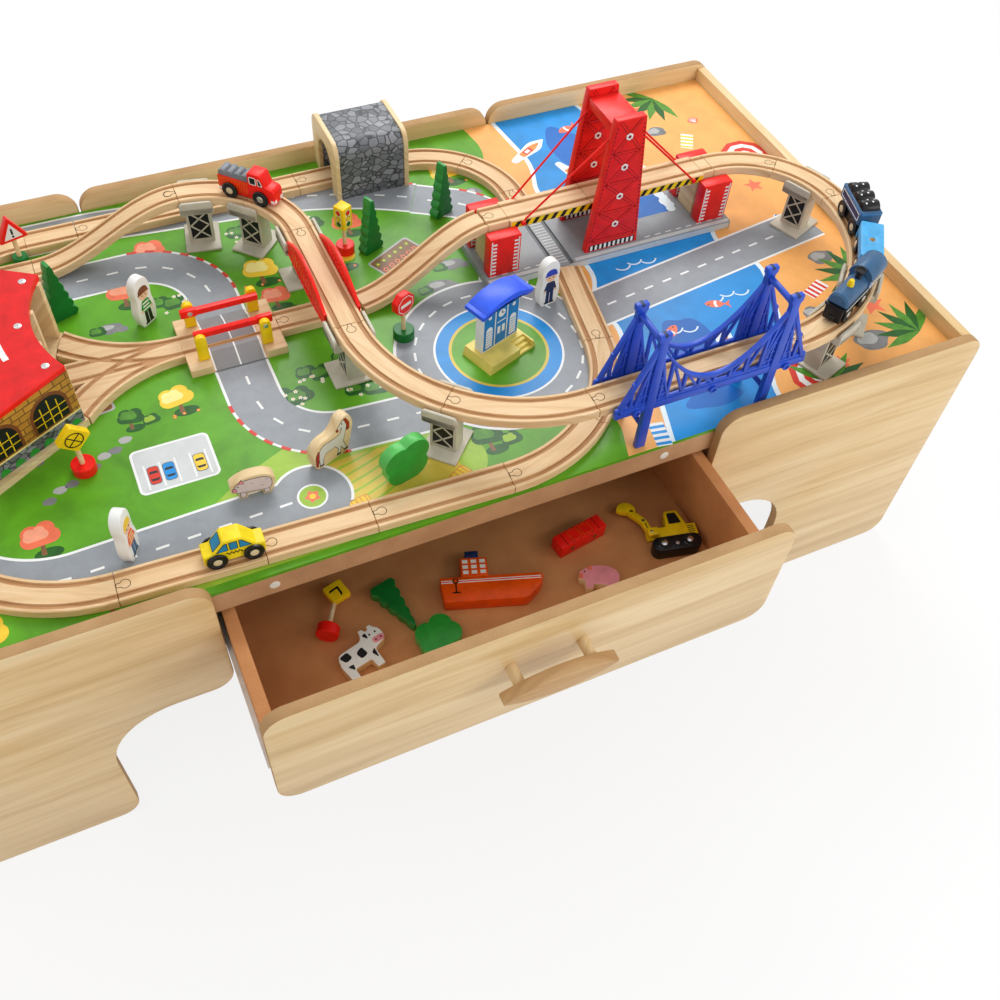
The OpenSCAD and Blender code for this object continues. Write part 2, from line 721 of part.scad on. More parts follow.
// Bridges
arch_rise = 26;
arch_t = 4;
module arch_side_2d() {
    l = arch_l - saddle_l - 2;
    n = 12;
    low = raised_z - 4;
    top = [for (i = [0:n]) [l * (i / n - 0.5), raised_top + arch_rise * sin(180 * i / n)]];
    bottom = [for (i = [0:n]) [l * (i / n - 0.5), low - 6 * sin(180 * i / n)]];
    difference() {
        polygon(concat(bottom, [for (i = [n:-1:0]) top[i]]));
        for (i = [2:n - 3]) polygon([
            [l * ((i + 0.15) / n - 0.5), raised_top - 1],
            [l * ((i + 0.85) / n - 0.5), raised_top - 1],
            [l * ((i + 0.5) / n - 0.5), raised_top + arch_rise * sin(180 * (i + 0.5) / n) - 6]]);
    }
}
module arch_bridge_sides() {
    mid = step(after(raised_start, raised_legs, 2), [arch_l / 2, 0]);
    color("red") on_board() at_pose(mid) for (s = [-1, 1])
        translate([0, s * (track_w / 2 + arch_t / 2), 0]) upright(arch_t) arch_side_2d();
}
span_frame_t = 6;
span_tail = 46;
span_shift = 9;
span_side_y = track_w / 2 + 3;
chord_h = 15;
module span_side_2d() {
    low = raised_z - 3;
    half = span_l / 2;
    sag_z = raised_top + 14;
    peak_z = span_h - 14;
    n = 12;
    cable = [for (i = [-n:n]) let (t = i / n) [half * t, sag_z + (peak_z - sag_z) * t * t]];
    translate([-half - span_tail, low]) square([span_l + 2 * span_tail, chord_h]);
    polygon(concat(cable, [for (i = [2 * n:-1:0]) cable[i] - [0, 6]]));
    for (i = [2:2:2 * n - 2]) bar2d([cable[i].x, low + 2], cable[i] - [0, 2], 4);
    for (s = [-1, 1]) {
        translate([s * half - 5.5, 0]) square([11, span_h]);
        polygon([[s * (half + 20), low + 4], [s * (half - 20), low + 4], [s * half, peak_z]]);
        bar2d([s * (half + span_tail - 3), low + 3], [s * half, peak_z], 5);
        bar2d([s * (half + span_tail / 2), low + 2], [s * (half + span_tail / 2), low + 60], 4);
    }
}
module suspension_bridge() {
    mid = step(after(raised_start, raised_legs, 5), [bridge_l / 2 + span_shift, 0]);
    color("royalblue") on_board() at_pose(mid) {
        for (s = [-1, 1]) translate([0, s * (span_side_y + span_frame_t / 2), 0]) upright(span_frame_t)
            span_side_2d();
        for (x = [-1, 1], z = [34, span_h - 15]) translate([x * span_l / 2, 0, z]) rotate([90, 0, 0])
            cylinder(h = 2 * span_side_y + 2, d = 7, center = true);
        for (x = [-1, 0, 1]) translate([x * (span_l / 2 + 18), 0, raised_z - 3.5]) rotate([90, 0, 0])
            cylinder(h = 2 * span_side_y + 2 * span_frame_t + 6, d = 7, center = true);
    }
}
tower_y = 38;
tower_t = 11;
tower_w = 83;
tower_top_w = 44;
block_x = 167;
block_w = 46;
block_h = 63;
module lift_bridge_deck() {
    color("wheat") on_board() translate([lift_x, lift_y, raised_z]) difference() {
        translate([-deck_l / 2, -deck_w / 2, 0]) cube([deck_l, deck_w, track_t]);
        for (s = [-1, 1]) translate([-deck_l, s * gauge / 2 - groove_w / 2, track_t - groove_d])
            cube([2 * deck_l, groove_w, track_t]);
        translate([-30.4, -deck_w, track_t - 2]) cube([0.8, 2 * deck_w, 3]);
    }
}
module lift_bridge_piers() {
    color("burlywood") on_board() translate([lift_x, lift_y, track_t]) mirrored()
        translate([deck_l / 2 - 6, -track_w / 2 + 2, 0]) cube([tail_l + 6, track_w - 4, raised_z - track_t]);
}
module lift_bridge_towers() {
    color("red") on_board() translate([lift_x, lift_y, track_t]) {
        for (s = [-1, 1]) translate([0, s * tower_y, 0]) upright(tower_t)
            polygon([[-tower_w / 2, 0], [tower_w / 2, 0],
                [tower_top_w / 2, tower_h], [-tower_top_w / 2, tower_h]]);
        translate([-tower_top_w / 2, -tower_y, tower_h - 24]) cube([tower_top_w, 2 * tower_y, 14]);
        for (x = [-1, 1], y = [-1, 1])
            translate([x * block_x - block_w / 2, y * (deck_w / 2 + 10) - 9, 0]) cube([block_w, 18, block_h]);
    }
}
module lift_bridge_stays() {
    color("red") on_board() translate([lift_x, lift_y, 0]) for (x = [-1, 1], y = [-1, 1])
        rod([x * (deck_l / 2 - 18), y * (deck_w / 2 - 1), raised_z + 7],
            [x * 14, y * (tower_y - tower_t / 2 + 1), track_t + tower_h - 22], 3);
}
module quay_base() {
    color("slategray") on_board() difference() {
        translate([lift_x - quay_half_l, quay_front_y, 0])
            cube([2 * quay_half_l, quay_back_y - quay_front_y, track_t]);
        for (s = [-1, 1])
            translate([quay_track_x + s * gauge / 2 - groove_w / 2, quay_front_y - 1, track_t - groove_d])
            cube([groove_w, quay_back_y - quay_front_y + 2, track_t]);
    }
}

// Engine shed: a fan of three stalls behind the turnout
shed_r0 = 155;
shed_half = 30;
shed_floor = 10;
stall_walls = [-28.4, -10.3, 10.3, 28.4];
module shed_at() { on_board() translate([shed_apex.x, shed_apex.y, 0]) children(); }
module shed_walls() {
    color("goldenrod") shed_at() {
        sector(shed_r0 - 2, shed_r + 2, shed_half + 1, shed_floor);
        sector(shed_r - 8, shed_r, shed_half, shed_wall_h);
        for (a = stall_walls) rotate([0, 0, 180 + a]) translate([shed_r0, -4, 0])
            cube([shed_r - shed_r0 - 4, 8, shed_wall_h]);
    }
}
module shed_roof() {
    color("red") shed_at() translate([0, 0, shed_wall_h]) {
        sector(shed_r0 + 3, shed_r + 6, shed_half + 1.5, shed_roof_t);
        rotate([0, 0, 180 - 6]) translate([shed_r0 + 52, 0, shed_roof_t + 6]) rotate([0, 90, -50])
            cylinder(h = 44, d = 14);
    }
}

// Stone tunnel with wooden end frames
tunnel_w = 100;
bore_w = 58;
bore_h = 66;
frame_t = 7;
module tunnel_2d(grow) {
    difference() {
        union() {
            translate([-tunnel_w / 2 - grow, 0]) square([tunnel_w + 2 * grow, tunnel_h - 20]);
            translate([-tunnel_w / 2 + 20, 0]) square([tunnel_w - 40, tunnel_h + grow]);
            for (s = [-1, 1]) translate([s * (tunnel_w / 2 - 20), tunnel_h - 20]) circle(20 + grow);
        }
        translate([-bore_w / 2, -1]) square([bore_w, bore_h - bore_w / 2 + 1]);
        translate([0, bore_h - bore_w / 2]) circle(d = bore_w);
    }
}
module stone_tunnel() {
    color("dimgray") on_board() translate([tunnel_end_x - tunnel_l, back_y, 0])
        rotate([90, 0, 90]) {
            translate([0, 0, frame_t]) linear_extrude(tunnel_l - 2 * frame_t) tunnel_2d(0);
            for (z = [0, tunnel_l - frame_t]) translate([0, 0, z]) linear_extrude(frame_t) tunnel_2d(2);
        }
}

// Kiosk, trees, signs and figures
kiosk_x = 124;
kiosk_y = -124;
kiosk_base_h = 14;
kiosk_wall_h = 78;
module kiosk() {
    on_board() translate([kiosk_x, kiosk_y, 0]) rotate([0, 0, 20]) {
        color("khaki") difference() {
            translate([-41, -26, 0]) cube([82, 52, kiosk_base_h]);
            for (i = [0, 1]) translate([14, -27, kiosk_base_h - 4 * (2 - i)]) cube([20, 7 + 6 * (1 - i), 10]);
        }
        color("white") translate([-32, 0, kiosk_base_h - EPS]) cube([64, 14, kiosk_wall_h]);
        color("royalblue") translate([0, 6, kiosk_base_h + kiosk_wall_h - 8]) upright(34) intersection() {
            translate([0, -70]) difference() {
                circle(86, $fn = 96);
                circle(77, $fn = 96);
            }
            translate([-44, 0]) square([88, 40]);
        }
    }
}
tree_t = 15;
tree_list = [[-380, 142, 20, 86, 42, 6], [39, 126, 24, 85, 38, 6], [162, 165, 24, 85, 38, 6]];
module trees() {
    on_board() {
        color("darkgreen") for (t = tree_list) translate([t[0], t[1], 0]) rotate([0, 0, t[2]])
            upright(tree_t) conifer_2d(t[3], t[4], t[5]);
        color("limegreen") translate([-66, -274, 0]) rotate([0, 0, 14]) upright(tree_t) bush_2d(56, 64);
    }
}
sign_t = 10;
module sign_head(z, a) { rotate([0, 0, a]) translate([0, 0, z]) upright(sign_t) children(); }
module signs() {
    on_board() {
        color("red") translate([-406, -127, 0]) {
            sign_post(60, 14);
            sign_head(58, 12) rotate(45) square(28, center = true);
        }
        color("red") translate([18, -54, 0]) {
            sign_post(50, 14);
            sign_head(58, 25) rotate(22.5) circle(17, $fn = 8);
        }
        color("red") translate([-411, 264, 0]) {
            sign_post(46, 10);
            sign_head(42, 15) polygon([[-20, 0], [20, 0], [0, 36]]);
        }
        color("red") translate([4, 134, 0]) {
            sign_post(46, 13);
            rotate([0, 0, 30]) translate([-9, -9, 44]) cube([18, 18, 34]);
        }
    }
}
figure_t = 13;
module figures() {
    on_board() {
        color("white") for (p = [[-283, 93, 38], [quay_track_x - 51, -62, 8], [-384, -262, 62]])
            translate([p.x, p.y, 0]) rotate([0, 0, p.z]) upright(figure_t) person_2d();
        color("tan") translate([-140, -214, 0]) rotate([0, 0, 22]) upright(figure_t) horse_2d();
        color("pink") translate([-235, -230, 0]) rotate([0, 0, -4]) upright(figure_t) pig_2d();
    }
}

// Vehicles, drawn with +X ahead and zero on top of the track
module vehicle(pose, z) { on_board() at_pose(pose, z) children(); }
module axle_bores(base = wheel_base) {
    for (x = [-1, 1]) translate([x * base / 2, 0, axle_z]) rotate([90, 0, 0])
        cylinder(h = 2 * chassis_w, d = axle_d + 2 * bore_play, center = true);
}
module wheelset(x, base = wheel_base) {
    color("black") translate([x * base / 2, 0, axle_z]) rotate([90, 0, 0]) {
        cylinder(h = gauge, d = axle_d, center = true);
        for (s = [-1, 1]) translate([0, 0, s * gauge / 2]) cylinder(h = wheel_w, d = wheel_d, center = true);
    }
}
over_wheels = axle_z + wheel_d / 2 + 1;
body_w = 30;
module chassis(l, mid = 0) {
    translate([mid - l / 2, -chassis_w / 2, 3]) cube([l, chassis_w, over_wheels - 3 + EPS]);
    for (s = [-1, 1]) translate([mid + s * l / 2, 0, 9]) rotate([0, s * 90, 0]) cylinder(h = 5, d = 9);
}
module loco_body() {
    cab_x = 18;
    cab_l = 39;
    color("steelblue") vehicle(loco_pose, raised_top) difference() {
        union() {
            chassis(92, 9);
            translate([-38, -body_w / 2, over_wheels]) cube([cab_x + cab_l + 38, body_w, 5]);
            translate([-40, -12, 4]) cube([6, 24, over_wheels + 1]);
            translate([-37, -13.5, over_wheels]) cube([cab_x + 38, 27, 9]);
            translate([-37, 0, over_wheels + 9]) rotate([0, 90, 0]) cylinder(h = cab_x + 38, d = 27);
            translate([cab_x, -body_w / 2, over_wheels]) cube([cab_l, body_w, 20]);
            translate([cab_x - 1, 0, over_wheels + 17]) rotate([0, 90, 0]) cylinder(h = cab_l + 2, d = 33);
            translate([8, 0, over_wheels + 15]) cylinder(h = 20, d = 9);
            translate([-12, 0, over_wheels + 15]) cylinder(h = 16, d = 9);
        }
        axle_bores();
    }
}
module flat_wagon_body() {
    half = 36;
    color("deepskyblue") vehicle(flat_wagon_pose, raised_top) difference() {
        union() {
            chassis(2 * half - 4);
            translate([-half, -body_w / 2, over_wheels]) cube([2 * half, body_w, 14]);
            for (s = [-1, 1]) translate([s * (half - 1.5) - 1.5, -body_w / 2, 10])
                cube([3, body_w, over_wheels - 10 + EPS]);
        }
        axle_bores();
        translate([0, 0, over_wheels + 4]) cylinder(h = 20, d = 8);
    }
}
module coal_wagon_body() {
    half = 33.5;
    color("midnightblue") vehicle(coal_wagon_pose, raised_top) difference() {
        union() {
            chassis(2 * half - 4);
            translate([-half, -body_w / 2, over_wheels]) cube([2 * half, body_w, 20]);
            for (x = [-1, 0, 1]) translate([x * 19, 0, over_wheels + 18]) rotate([90, 0, 0])
                cylinder(h = 25, d = 21, center = true);
        }
        axle_bores();
    }
}
module truck_2d() {
    polygon([[-41, 4], [43, 4], [43, 21], [40, 25], [30.5, 27], [24.5, 43.5], [5, 43.5], [5, 27.5], [-41, 27.5]]);
}
module truck_load_2d() {
    translate([-40, 27]) square([45.5, 5]);
    for (x = [-34.2, -23.2, -12.2, -1.2]) translate([x, 30.5]) circle(5.8);
}
module truck_body() {
    color("red") vehicle(truck_pose, raised_top) difference() {
        union() {
            upright(chassis_w) truck_2d();
            upright(chassis_w - 3) truck_load_2d();
        }
        axle_bores(truck_base);
    }
}
module taxi_2d() {
    polygon([[-34, 4], [34, 4], [34, 18], [33, 19], [24.5, 19.5], [10, 37.5],
        [-10, 37.5], [-24.5, 19.5], [-33, 19], [-34, 18]]);
}
module taxi_body() {
    color("gold") vehicle(taxi_pose, rail_top) difference() {
        upright(chassis_w) taxi_2d();
        axle_bores();
    }
}
module loco_front_wheels() { vehicle(loco_pose, raised_top) wheelset(-1); }
module loco_rear_wheels() { vehicle(loco_pose, raised_top) wheelset(1); }
module flat_wagon_front_wheels() { vehicle(flat_wagon_pose, raised_top) wheelset(-1); }
module flat_wagon_rear_wheels() { vehicle(flat_wagon_pose, raised_top) wheelset(1); }
module coal_wagon_wheels_front() { vehicle(coal_wagon_pose, raised_top) wheelset(-1); }
module coal_wagon_wheels_rear() { vehicle(coal_wagon_pose, raised_top) wheelset(1); }
module truck_wheels_front() { vehicle(truck_pose, raised_top) wheelset(1, truck_base); }
module truck_wheels_rear() { vehicle(truck_pose, raised_top) wheelset(-1, truck_base); }
module taxi_wheels_front() { vehicle(taxi_pose, rail_top) wheelset(1); }
module taxi_wheels_rear() { vehicle(taxi_pose, rail_top) wheelset(-1); }

play_board();
board_rails();
front_left_panel();
front_right_panel();
back_left_panel();
back_right_panel();
back_centre_panel();
end_rails();
drawer_cheeks();
runner_channels();
screw_caps();
drawer_front();
drawer_sides();
drawer_back();
drawer_bottom();
handle_bar();
handle_posts();
drawer_runners();
drawer_toys();
excavator_body();
excavator_arm();
straight_tracks();
curved_tracks();
ramp_tracks();
shed_turnout();
branch_turnout();
crossing_block();
crossing_posts();
gate_bar_near();
gate_bar_far();
track_pillars();
arch_bridge_sides();
suspension_bridge();
lift_bridge_deck();
lift_bridge_piers();
lift_bridge_towers();
lift_bridge_stays();
quay_base();
shed_walls();
shed_roof();
stone_tunnel();
kiosk();
trees();
signs();
figures();
loco_body();
flat_wagon_body();
coal_wagon_body();
truck_body();
taxi_body();
loco_front_wheels();
loco_rear_wheels();
flat_wagon_front_wheels();
flat_wagon_rear_wheels();
coal_wagon_wheels_front();
coal_wagon_wheels_rear();
truck_wheels_front();
truck_wheels_rear();
taxi_wheels_front();
taxi_wheels_rear();
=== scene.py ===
"""Train table with a drawer, a wooden railway on its board and the toys that stand on it."""
import math
import random

import bmesh
import bpy
from mathutils import Matrix, Vector


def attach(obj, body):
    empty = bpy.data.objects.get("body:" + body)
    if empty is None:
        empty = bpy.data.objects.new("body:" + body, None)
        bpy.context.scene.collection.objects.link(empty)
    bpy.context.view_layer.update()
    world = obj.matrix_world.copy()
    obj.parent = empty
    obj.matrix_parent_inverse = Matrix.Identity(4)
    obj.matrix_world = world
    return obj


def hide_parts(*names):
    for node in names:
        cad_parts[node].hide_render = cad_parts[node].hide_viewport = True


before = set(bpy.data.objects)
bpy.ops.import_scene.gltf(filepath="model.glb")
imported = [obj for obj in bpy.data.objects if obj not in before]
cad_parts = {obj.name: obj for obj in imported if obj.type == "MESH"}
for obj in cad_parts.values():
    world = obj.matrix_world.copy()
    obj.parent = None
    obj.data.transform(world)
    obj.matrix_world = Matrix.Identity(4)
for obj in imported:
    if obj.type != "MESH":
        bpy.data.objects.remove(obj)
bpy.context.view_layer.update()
draw = random.Random(7)

# Places, in millimetres from the table's middle; heights count from the board's top
MM = 0.001
TABLE_Y, BOARD_Z = 104.0, 410.0
TABLE_L, TABLE_H, PANEL_T, PANEL_ROUND = 1460.0, 438.0, 15.0, 28.0
BOARD_L, BOARD_D = 1412.0, 695.0
FRONT_Y, DRAWER_OPEN = -362.5, 168.0
DRAWER_Y = FRONT_Y - DRAWER_OPEN
FLOOR = -BOARD_Z
DRAWER_FLOOR = 260.0 - BOARD_Z
TRACK_W, TRACK_T, GAUGE, GROOVE_W, GROOVE_D = 40.0, 12.0, 26.0, 6.5, 2.5
RAISED, RAISED_TOP = 70.0, 82.0
LOOP_R, RAISED_R, TIGHT_R, BRANCH_R = 200.0, 220.0, 130.0, 138.0
ARCH_X, RIGHT_CX, RAISED_FRONT, RAMP1_Y = -66.0, 434.0, -310.0, 233.0
LIFT_X, LIFT_Y, DECK_L, DECK_W = 353.0, 40.0, 304.0, 46.0
MID_Y, CROSS_X, CROSS_L, CROSS_HALF = 20.0, -192.5, 125.0, 48.5
APEX_X = CROSS_X - CROSS_L / 2
QUAY_X, QUAY_FRONT, QUAY_BACK = 273.0, -14.0, 98.0
BACK_Y, TUNNEL_END = 295.0, 143.0
KIOSK_X, KIOSK_Y = 124.0, -124.0
WHEEL_BASE, TRUCK_BASE, WHEEL_R, AXLE_Z, OVER_WHEELS = 40.0, 46.0, 11.5, 9.3, 21.8
BOTH = (-1, 1)
ALONG_X, ALONG_Y, ALONG_Z = (1, 0, 0), (0, 1, 0), (0, 0, 1)
# Degrees between two steps of a curve, and from where on a direction counts as upright
FACET, UPRIGHT = 3.5, 0.9


def move(x=0.0, y=0.0, z=0.0):
    return Matrix.Translation((x, y, z))


def turn(degrees, axis="Z"):
    return Matrix.Rotation(math.radians(degrees), 4, axis)


ON_BOARD = Matrix.Scale(MM, 4) @ move(0, TABLE_Y, BOARD_Z)
STAND = turn(90, "X")


def step(pose, leg):
    """The pose [x, y, heading] after a leg [length, 0] or [radius, turn]."""
    x, y, h = pose
    size, bend = leg
    a = math.radians(h)
    if bend == 0:
        return [x + size * math.cos(a), y + size * math.sin(a), h]
    s = math.copysign(1, bend)
    b = math.radians(h + bend)
    return [x + s * size * (math.sin(b) - math.sin(a)), y - s * size * (math.cos(b) - math.cos(a)), h + bend]


def after(pose, legs, n):
    for leg in legs[:n]:
        pose = step(pose, leg)
    return pose


def at_pose(pose, z=0.0):
    return move(pose[0], pose[1], z) @ turn(pose[2])


def arc(cx, cy, r, a0, a1, n):
    """Points on a circle's arc, for outlines whose curve is no rounded corner."""
    return [(cx + r * math.cos(math.radians(a0 + (a1 - a0) * i / n)),
             cy + r * math.sin(math.radians(a0 + (a1 - a0) * i / n))) for i in range(n + 1)]


def circle_way(r, bend, n=None):
    """Matrices along an arc that leaves the origin along +X and bends by the given angle."""
    n = n or max(4, int(abs(bend) / FACET))
    s = math.copysign(1, bend)
    return [move(0, s * r, 0) @ turn(bend * i / n) @ move(0, -s * r, 0) for i in range(n + 1)]


def round_box(x0, y0, x1, y1, r):
    return [(x0, y0, r), (x1, y0, r), (x1, y1, r), (x0, y1, r)]


def symmetric(*right):
    """An outline from the corners on its right side, from the foot up."""
    left = [(-c[0], *c[1:]) for c in right]
    return left[:1] + [*right] + left[:0:-1]


def shifted(outline, x, y):
    return [(c[0] + x, c[1] + y, *c[2:]) for c in outline]


def tone(rgb):
    """A colour as it is seen on screen, made linear."""
    return tuple(((c / 255 + 0.055) / 1.055) ** 2.4 if c > 10 else c / 255 / 12.92 for c in rgb) + (1.0,)


# Materials
class Finish:
    """A node material around one Principled shader."""

    def __init__(self, name, **sockets):
        self.material = bpy.data.materials.new(name)
        self.material.use_nodes = True
        self.tree = self.material.node_tree
        self.shader = next(n for n in self.tree.nodes if n.type == "BSDF_PRINCIPLED")
        for key, value in sockets.items():
            self.shader.inputs[key.replace("_", " ")].default_value = value

    def node(self, kind, values=None, **settings):
        n = self.tree.nodes.new("ShaderNode" + kind)
        for key, value in settings.items():
            setattr(n, key, value)
        for key, value in (values or {}).items():
            if isinstance(value, bpy.types.NodeSocket):
                self.tree.links.new(value, n.inputs[key])
            else:
                n.inputs[key].default_value = value
        return n

    def coords(self, scale=(1, 1, 1), grain=False):
        """The piece's own Object coordinates or its grain map, scaled."""
        node = self.node("UVMap", uv_map="grain") if grain else self.node("TexCoord")
        source = node.outputs["UV" if grain else "Object"]
        return self.node("Mapping", {"Vector": source, "Scale": scale}).outputs[0]

    def noise(self, vector, scale, detail=4.0, rough=0.55, twist=0.0):
        return self.node("TexNoise", {"Vector": vector, "Scale": scale, "Detail": detail, "Roughness": rough,
                                      "Distortion": twist}).outputs["Fac"]

    def ramp(self, fac, stops):
        n = self.node("ValToRGB", {"Fac": fac})
        band = n.color_ramp
        while len(band.elements) < len(stops):
            band.elements.new(0.5)
        for element, (pos, colour) in zip(band.elements, stops):
            element.position = pos
            element.color = colour
        return n.outputs["Color"]

    def blend(self, fac, a, b, mode="MIX"):
        return self.node("Mix", {0: fac, 6: a, 7: b}, data_type="RGBA", blend_type=mode).outputs[2]

    def range(self, value, low, high):
        return self.node("MapRange", {"Value": value, "To Min": low, "To Max": high}).outputs[0]

    def finish(self, colour, rough=None, bump=None, height=0.0002, strength=0.4):
        self.tree.links.new(colour, self.shader.inputs["Base Color"])
        if rough is not None:
            self.tree.links.new(rough, self.shader.inputs["Roughness"])
        if bump is not None:
            b = self.node("Bump", {"Height": bump, "Strength": strength, "Distance": height})
            self.tree.links.new(b.outputs[0], self.shader.inputs["Normal"])
        return self.material


def shade(colour, k):
    return tuple(min(1.0, c * k) for c in colour[:3]) + (1.0,)


def timber(name, dark, mid, light, along=5.0, across=70.0, fibre=0.12, rough=(0.42, 0.58), coat=0.0):
    """Wood whose grain runs along the piece's own grain map."""
    dark, mid, light = tone(dark), tone(mid), tone(light)
    f = Finish(name, Coat_Weight=coat, Coat_Roughness=0.25, Specular_IOR_Level=0.3)
    wide = f.noise(f.coords((along, across, 1), True), 1.0, 5, 0.6, 0.5)
    fine = f.noise(f.coords((along * 5, across * 9, 1), True), 1.0, 3, 0.7)
    body = f.ramp(wide, [(0.28, dark), (0.5, mid), (0.74, light)])
    body = f.blend(fibre, body, f.ramp(fine, [(0.35, shade(dark, 0.62)), (0.6, light)]), "MULTIPLY")
    return f.finish(body, f.range(wide, *rough), fine, 0.00012, 0.35)


def fibreboard(name, dark, light):
    dark, light = tone(dark), tone(light)
    f = Finish(name, Specular_IOR_Level=0.3)
    speck = f.noise(f.coords(), 900, 3, 0.7)
    cloud = f.noise(f.coords(), 22, 3, 0.5)
    body = f.blend(0.5, f.ramp(cloud, [(0.35, dark), (0.65, light)]),
                   f.ramp(speck, [(0.35, dark), (0.65, light)]))
    return f.finish(body, f.range(speck, 0.6, 0.8), speck, 0.0001, 0.3)


def paint(name, rgb, rough=0.34, coat=0.1, worn=0.16):
    """Brushed satin paint on wood: small cloudy shifts of shade and a faint grain under it."""
    colour = tone(rgb)
    f = Finish(name, Coat_Weight=coat, Coat_Roughness=0.2, Specular_IOR_Level=0.2)
    cloud = f.noise(f.coords(), 60, 4, 0.6)
    grain = f.noise(f.coords((1, 1, 6)), 240, 3, 0.6)
    body = f.ramp(cloud, [(0.3, shade(colour, 1 - worn)), (0.55, colour), (0.8, shade(colour, 1 + worn))])
    return f.finish(body, f.range(cloud, rough - 0.06, rough + 0.1), grain, 0.0001, 0.25)


def moulded(name, rgb, rough=0.32):
    colour = tone(rgb)
    f = Finish(name, Specular_IOR_Level=0.35)
    cloud = f.noise(f.coords(), 45, 3, 0.5)
    skin = f.noise(f.coords(), 1400, 2, 0.5)
    body = f.ramp(cloud, [(0.3, shade(colour, 0.88)), (0.7, shade(colour, 1.1))])
    return f.finish(body, f.range(cloud, rough - 0.05, rough + 0.08), skin, 0.00005, 0.3)


def metal(name, rgb, rough=0.3):
    colour = tone(rgb)
    f = Finish(name, Metallic=1.0)
    cloud = f.noise(f.coords(), 300, 3, 0.6)
    return f.finish(f.ramp(cloud, [(0.3, shade(colour, 0.85)), (0.7, colour)]),
                    f.range(cloud, rough - 0.08, rough + 0.12))


def print_ink(name, rgb, spread, scale):
    """Ink printed on the board under a satin lacquer."""
    colour = tone(rgb)
    f = Finish(name, Coat_Weight=0.12, Coat_Roughness=0.22, Specular_IOR_Level=0.2)
    cloud = f.noise(f.coords(), scale, 5, 0.6, 0.4)
    dots = f.noise(f.coords(), 700, 2, 0.5)
    body = f.ramp(cloud, [(0.3, shade(colour, 1 - spread)), (0.5, colour), (0.72, shade(colour, 1 + spread))])
    return f.finish(body, f.range(dots, 0.31, 0.44))


def brickwork(name):
    f = Finish(name, Roughness=0.55)
    at = f.coords(grain=True)
    brick = f.node("TexBrick", {"Vector": at, "Color1": tone((204, 158, 62)), "Color2": tone((176, 124, 44)),
                                "Mortar": tone((112, 78, 34)), "Scale": 1.0, "Mortar Size": 0.0007,
                                "Brick Width": 0.017, "Row Height": 0.0075, "Bias": 0.1})
    cloud = f.noise(at, 90, 4, 0.6)
    stain = f.ramp(cloud, [(0.3, tone((120, 86, 40))), (0.7, tone((236, 200, 110)))])
    body = f.blend(0.3, brick.outputs["Color"], stain, "OVERLAY")
    return f.finish(body, None, brick.outputs["Fac"], -0.0002, 0.3)


def rubble(name, dark, light, joint, scale):
    dark, light, joint = tone(dark), tone(light), tone(joint)
    f = Finish(name, Roughness=0.5)
    at = f.coords((1, 1, 1.5))
    cells = f.node("TexVoronoi", {"Vector": at, "Scale": scale})
    rims = f.node("TexVoronoi", {"Vector": at, "Scale": scale}, feature="DISTANCE_TO_EDGE")
    stone = f.ramp(f.node("SeparateColor", {"Color": cells.outputs["Color"]}).outputs[0],
                   [(0.0, dark), (1.0, light)])
    seams = f.ramp(rims.outputs["Distance"], [(0.03, (1, 1, 1, 1)), (0.09, (0, 0, 0, 1))])
    body = f.blend(seams, stone, joint)
    return f.finish(body, None, rims.outputs["Distance"], 0.0004, 0.4)


ASH = timber("ash_laminate", (204, 168, 110), (226, 195, 143), (241, 218, 174), 2.2, 34, 0.12,
             (0.3, 0.42), 0.12)
BEECH = timber("beech", (214, 176, 128), (230, 197, 152), (240, 212, 172), 9, 120, 0.1, (0.45, 0.6))
# Darker beech on the groove floors of track, ramps, crossing, deck and turnouts: painted shade in the grooves
BEECH_GROOVE_SHADE = timber("beech_groove_shade", (176, 128, 82), (194, 148, 100), (210, 166, 118), 9, 120, 0.2,
                      (0.5, 0.65))
PALE_WOOD = timber("pale_wood", (214, 182, 130), (232, 205, 158), (244, 224, 186), 9, 110, 0.12)
HANDLE_WOOD = timber("handle_wood", (178, 138, 92), (198, 158, 110), (214, 178, 130), 8, 90, 0.15)
EDGE = fibreboard("board_edge", (166, 128, 84), (190, 152, 106))
BROWN = fibreboard("brown_fibreboard", (172, 130, 94), (202, 160, 120))
TRAY_BROWN = fibreboard("drawer_fibreboard", (184, 120, 72), (210, 148, 94))
JOINT = paint("joint_shadow", (74, 48, 26), 0.7, 0.0)
RED = paint("red_paint", (244, 30, 20))
ROOF_RED = paint("roof_red_paint", (220, 28, 28), 0.4)
DARK_RED = paint("dark_red_paint", (138, 16, 18))
YELLOW = paint("yellow_paint", (246, 206, 20))
LEMON = paint("lemon_paint", (248, 220, 30))
CREAM = paint("cream_paint", (244, 226, 150))
ORANGE = paint("orange_paint", (238, 84, 6))
BLACK = paint("black_paint", (26, 26, 28), 0.3)
WHITE = paint("white_paint", (240, 240, 236), 0.32, 0.15, 0.04)
STEEL_BLUE = paint("steel_blue_paint", (58, 96, 132))
SKY_BLUE = paint("sky_blue_paint", (78, 170, 224))
WINDOW = paint("window_paint", (42, 138, 184), 0.2)
ROYAL_PAINT = paint("royal_blue_paint", (28, 70, 190))
NAVY = paint("navy_paint", (28, 48, 92))
FOREST = paint("forest_green_paint", (22, 112, 44))
LEAF = paint("leaf_green_paint", (44, 150, 52))
PINK = paint("pink_paint", (240, 150, 160))
TAN = paint("tan_paint", (206, 160, 104))
CHESTNUT = paint("chestnut_paint", (128, 74, 42))
STONE_GREY = paint("grey_paint", (128, 132, 138))
PALE_GREY = paint("pale_grey_paint", (214, 212, 204), 0.34, 0.15, 0.05)
CROSSING_GREY = paint("crossing_grey_paint", (142, 141, 142), 0.4, 0.1, 0.06)
TOWER_RED = paint("tower_red_paint", (236, 34, 28))
MANE_RED = paint("mane_red_paint", (166, 44, 20))
SKIN = paint("skin_paint", (238, 196, 160), 0.4, 0.0, 0.05)
BRICK = brickwork("ochre_brick")
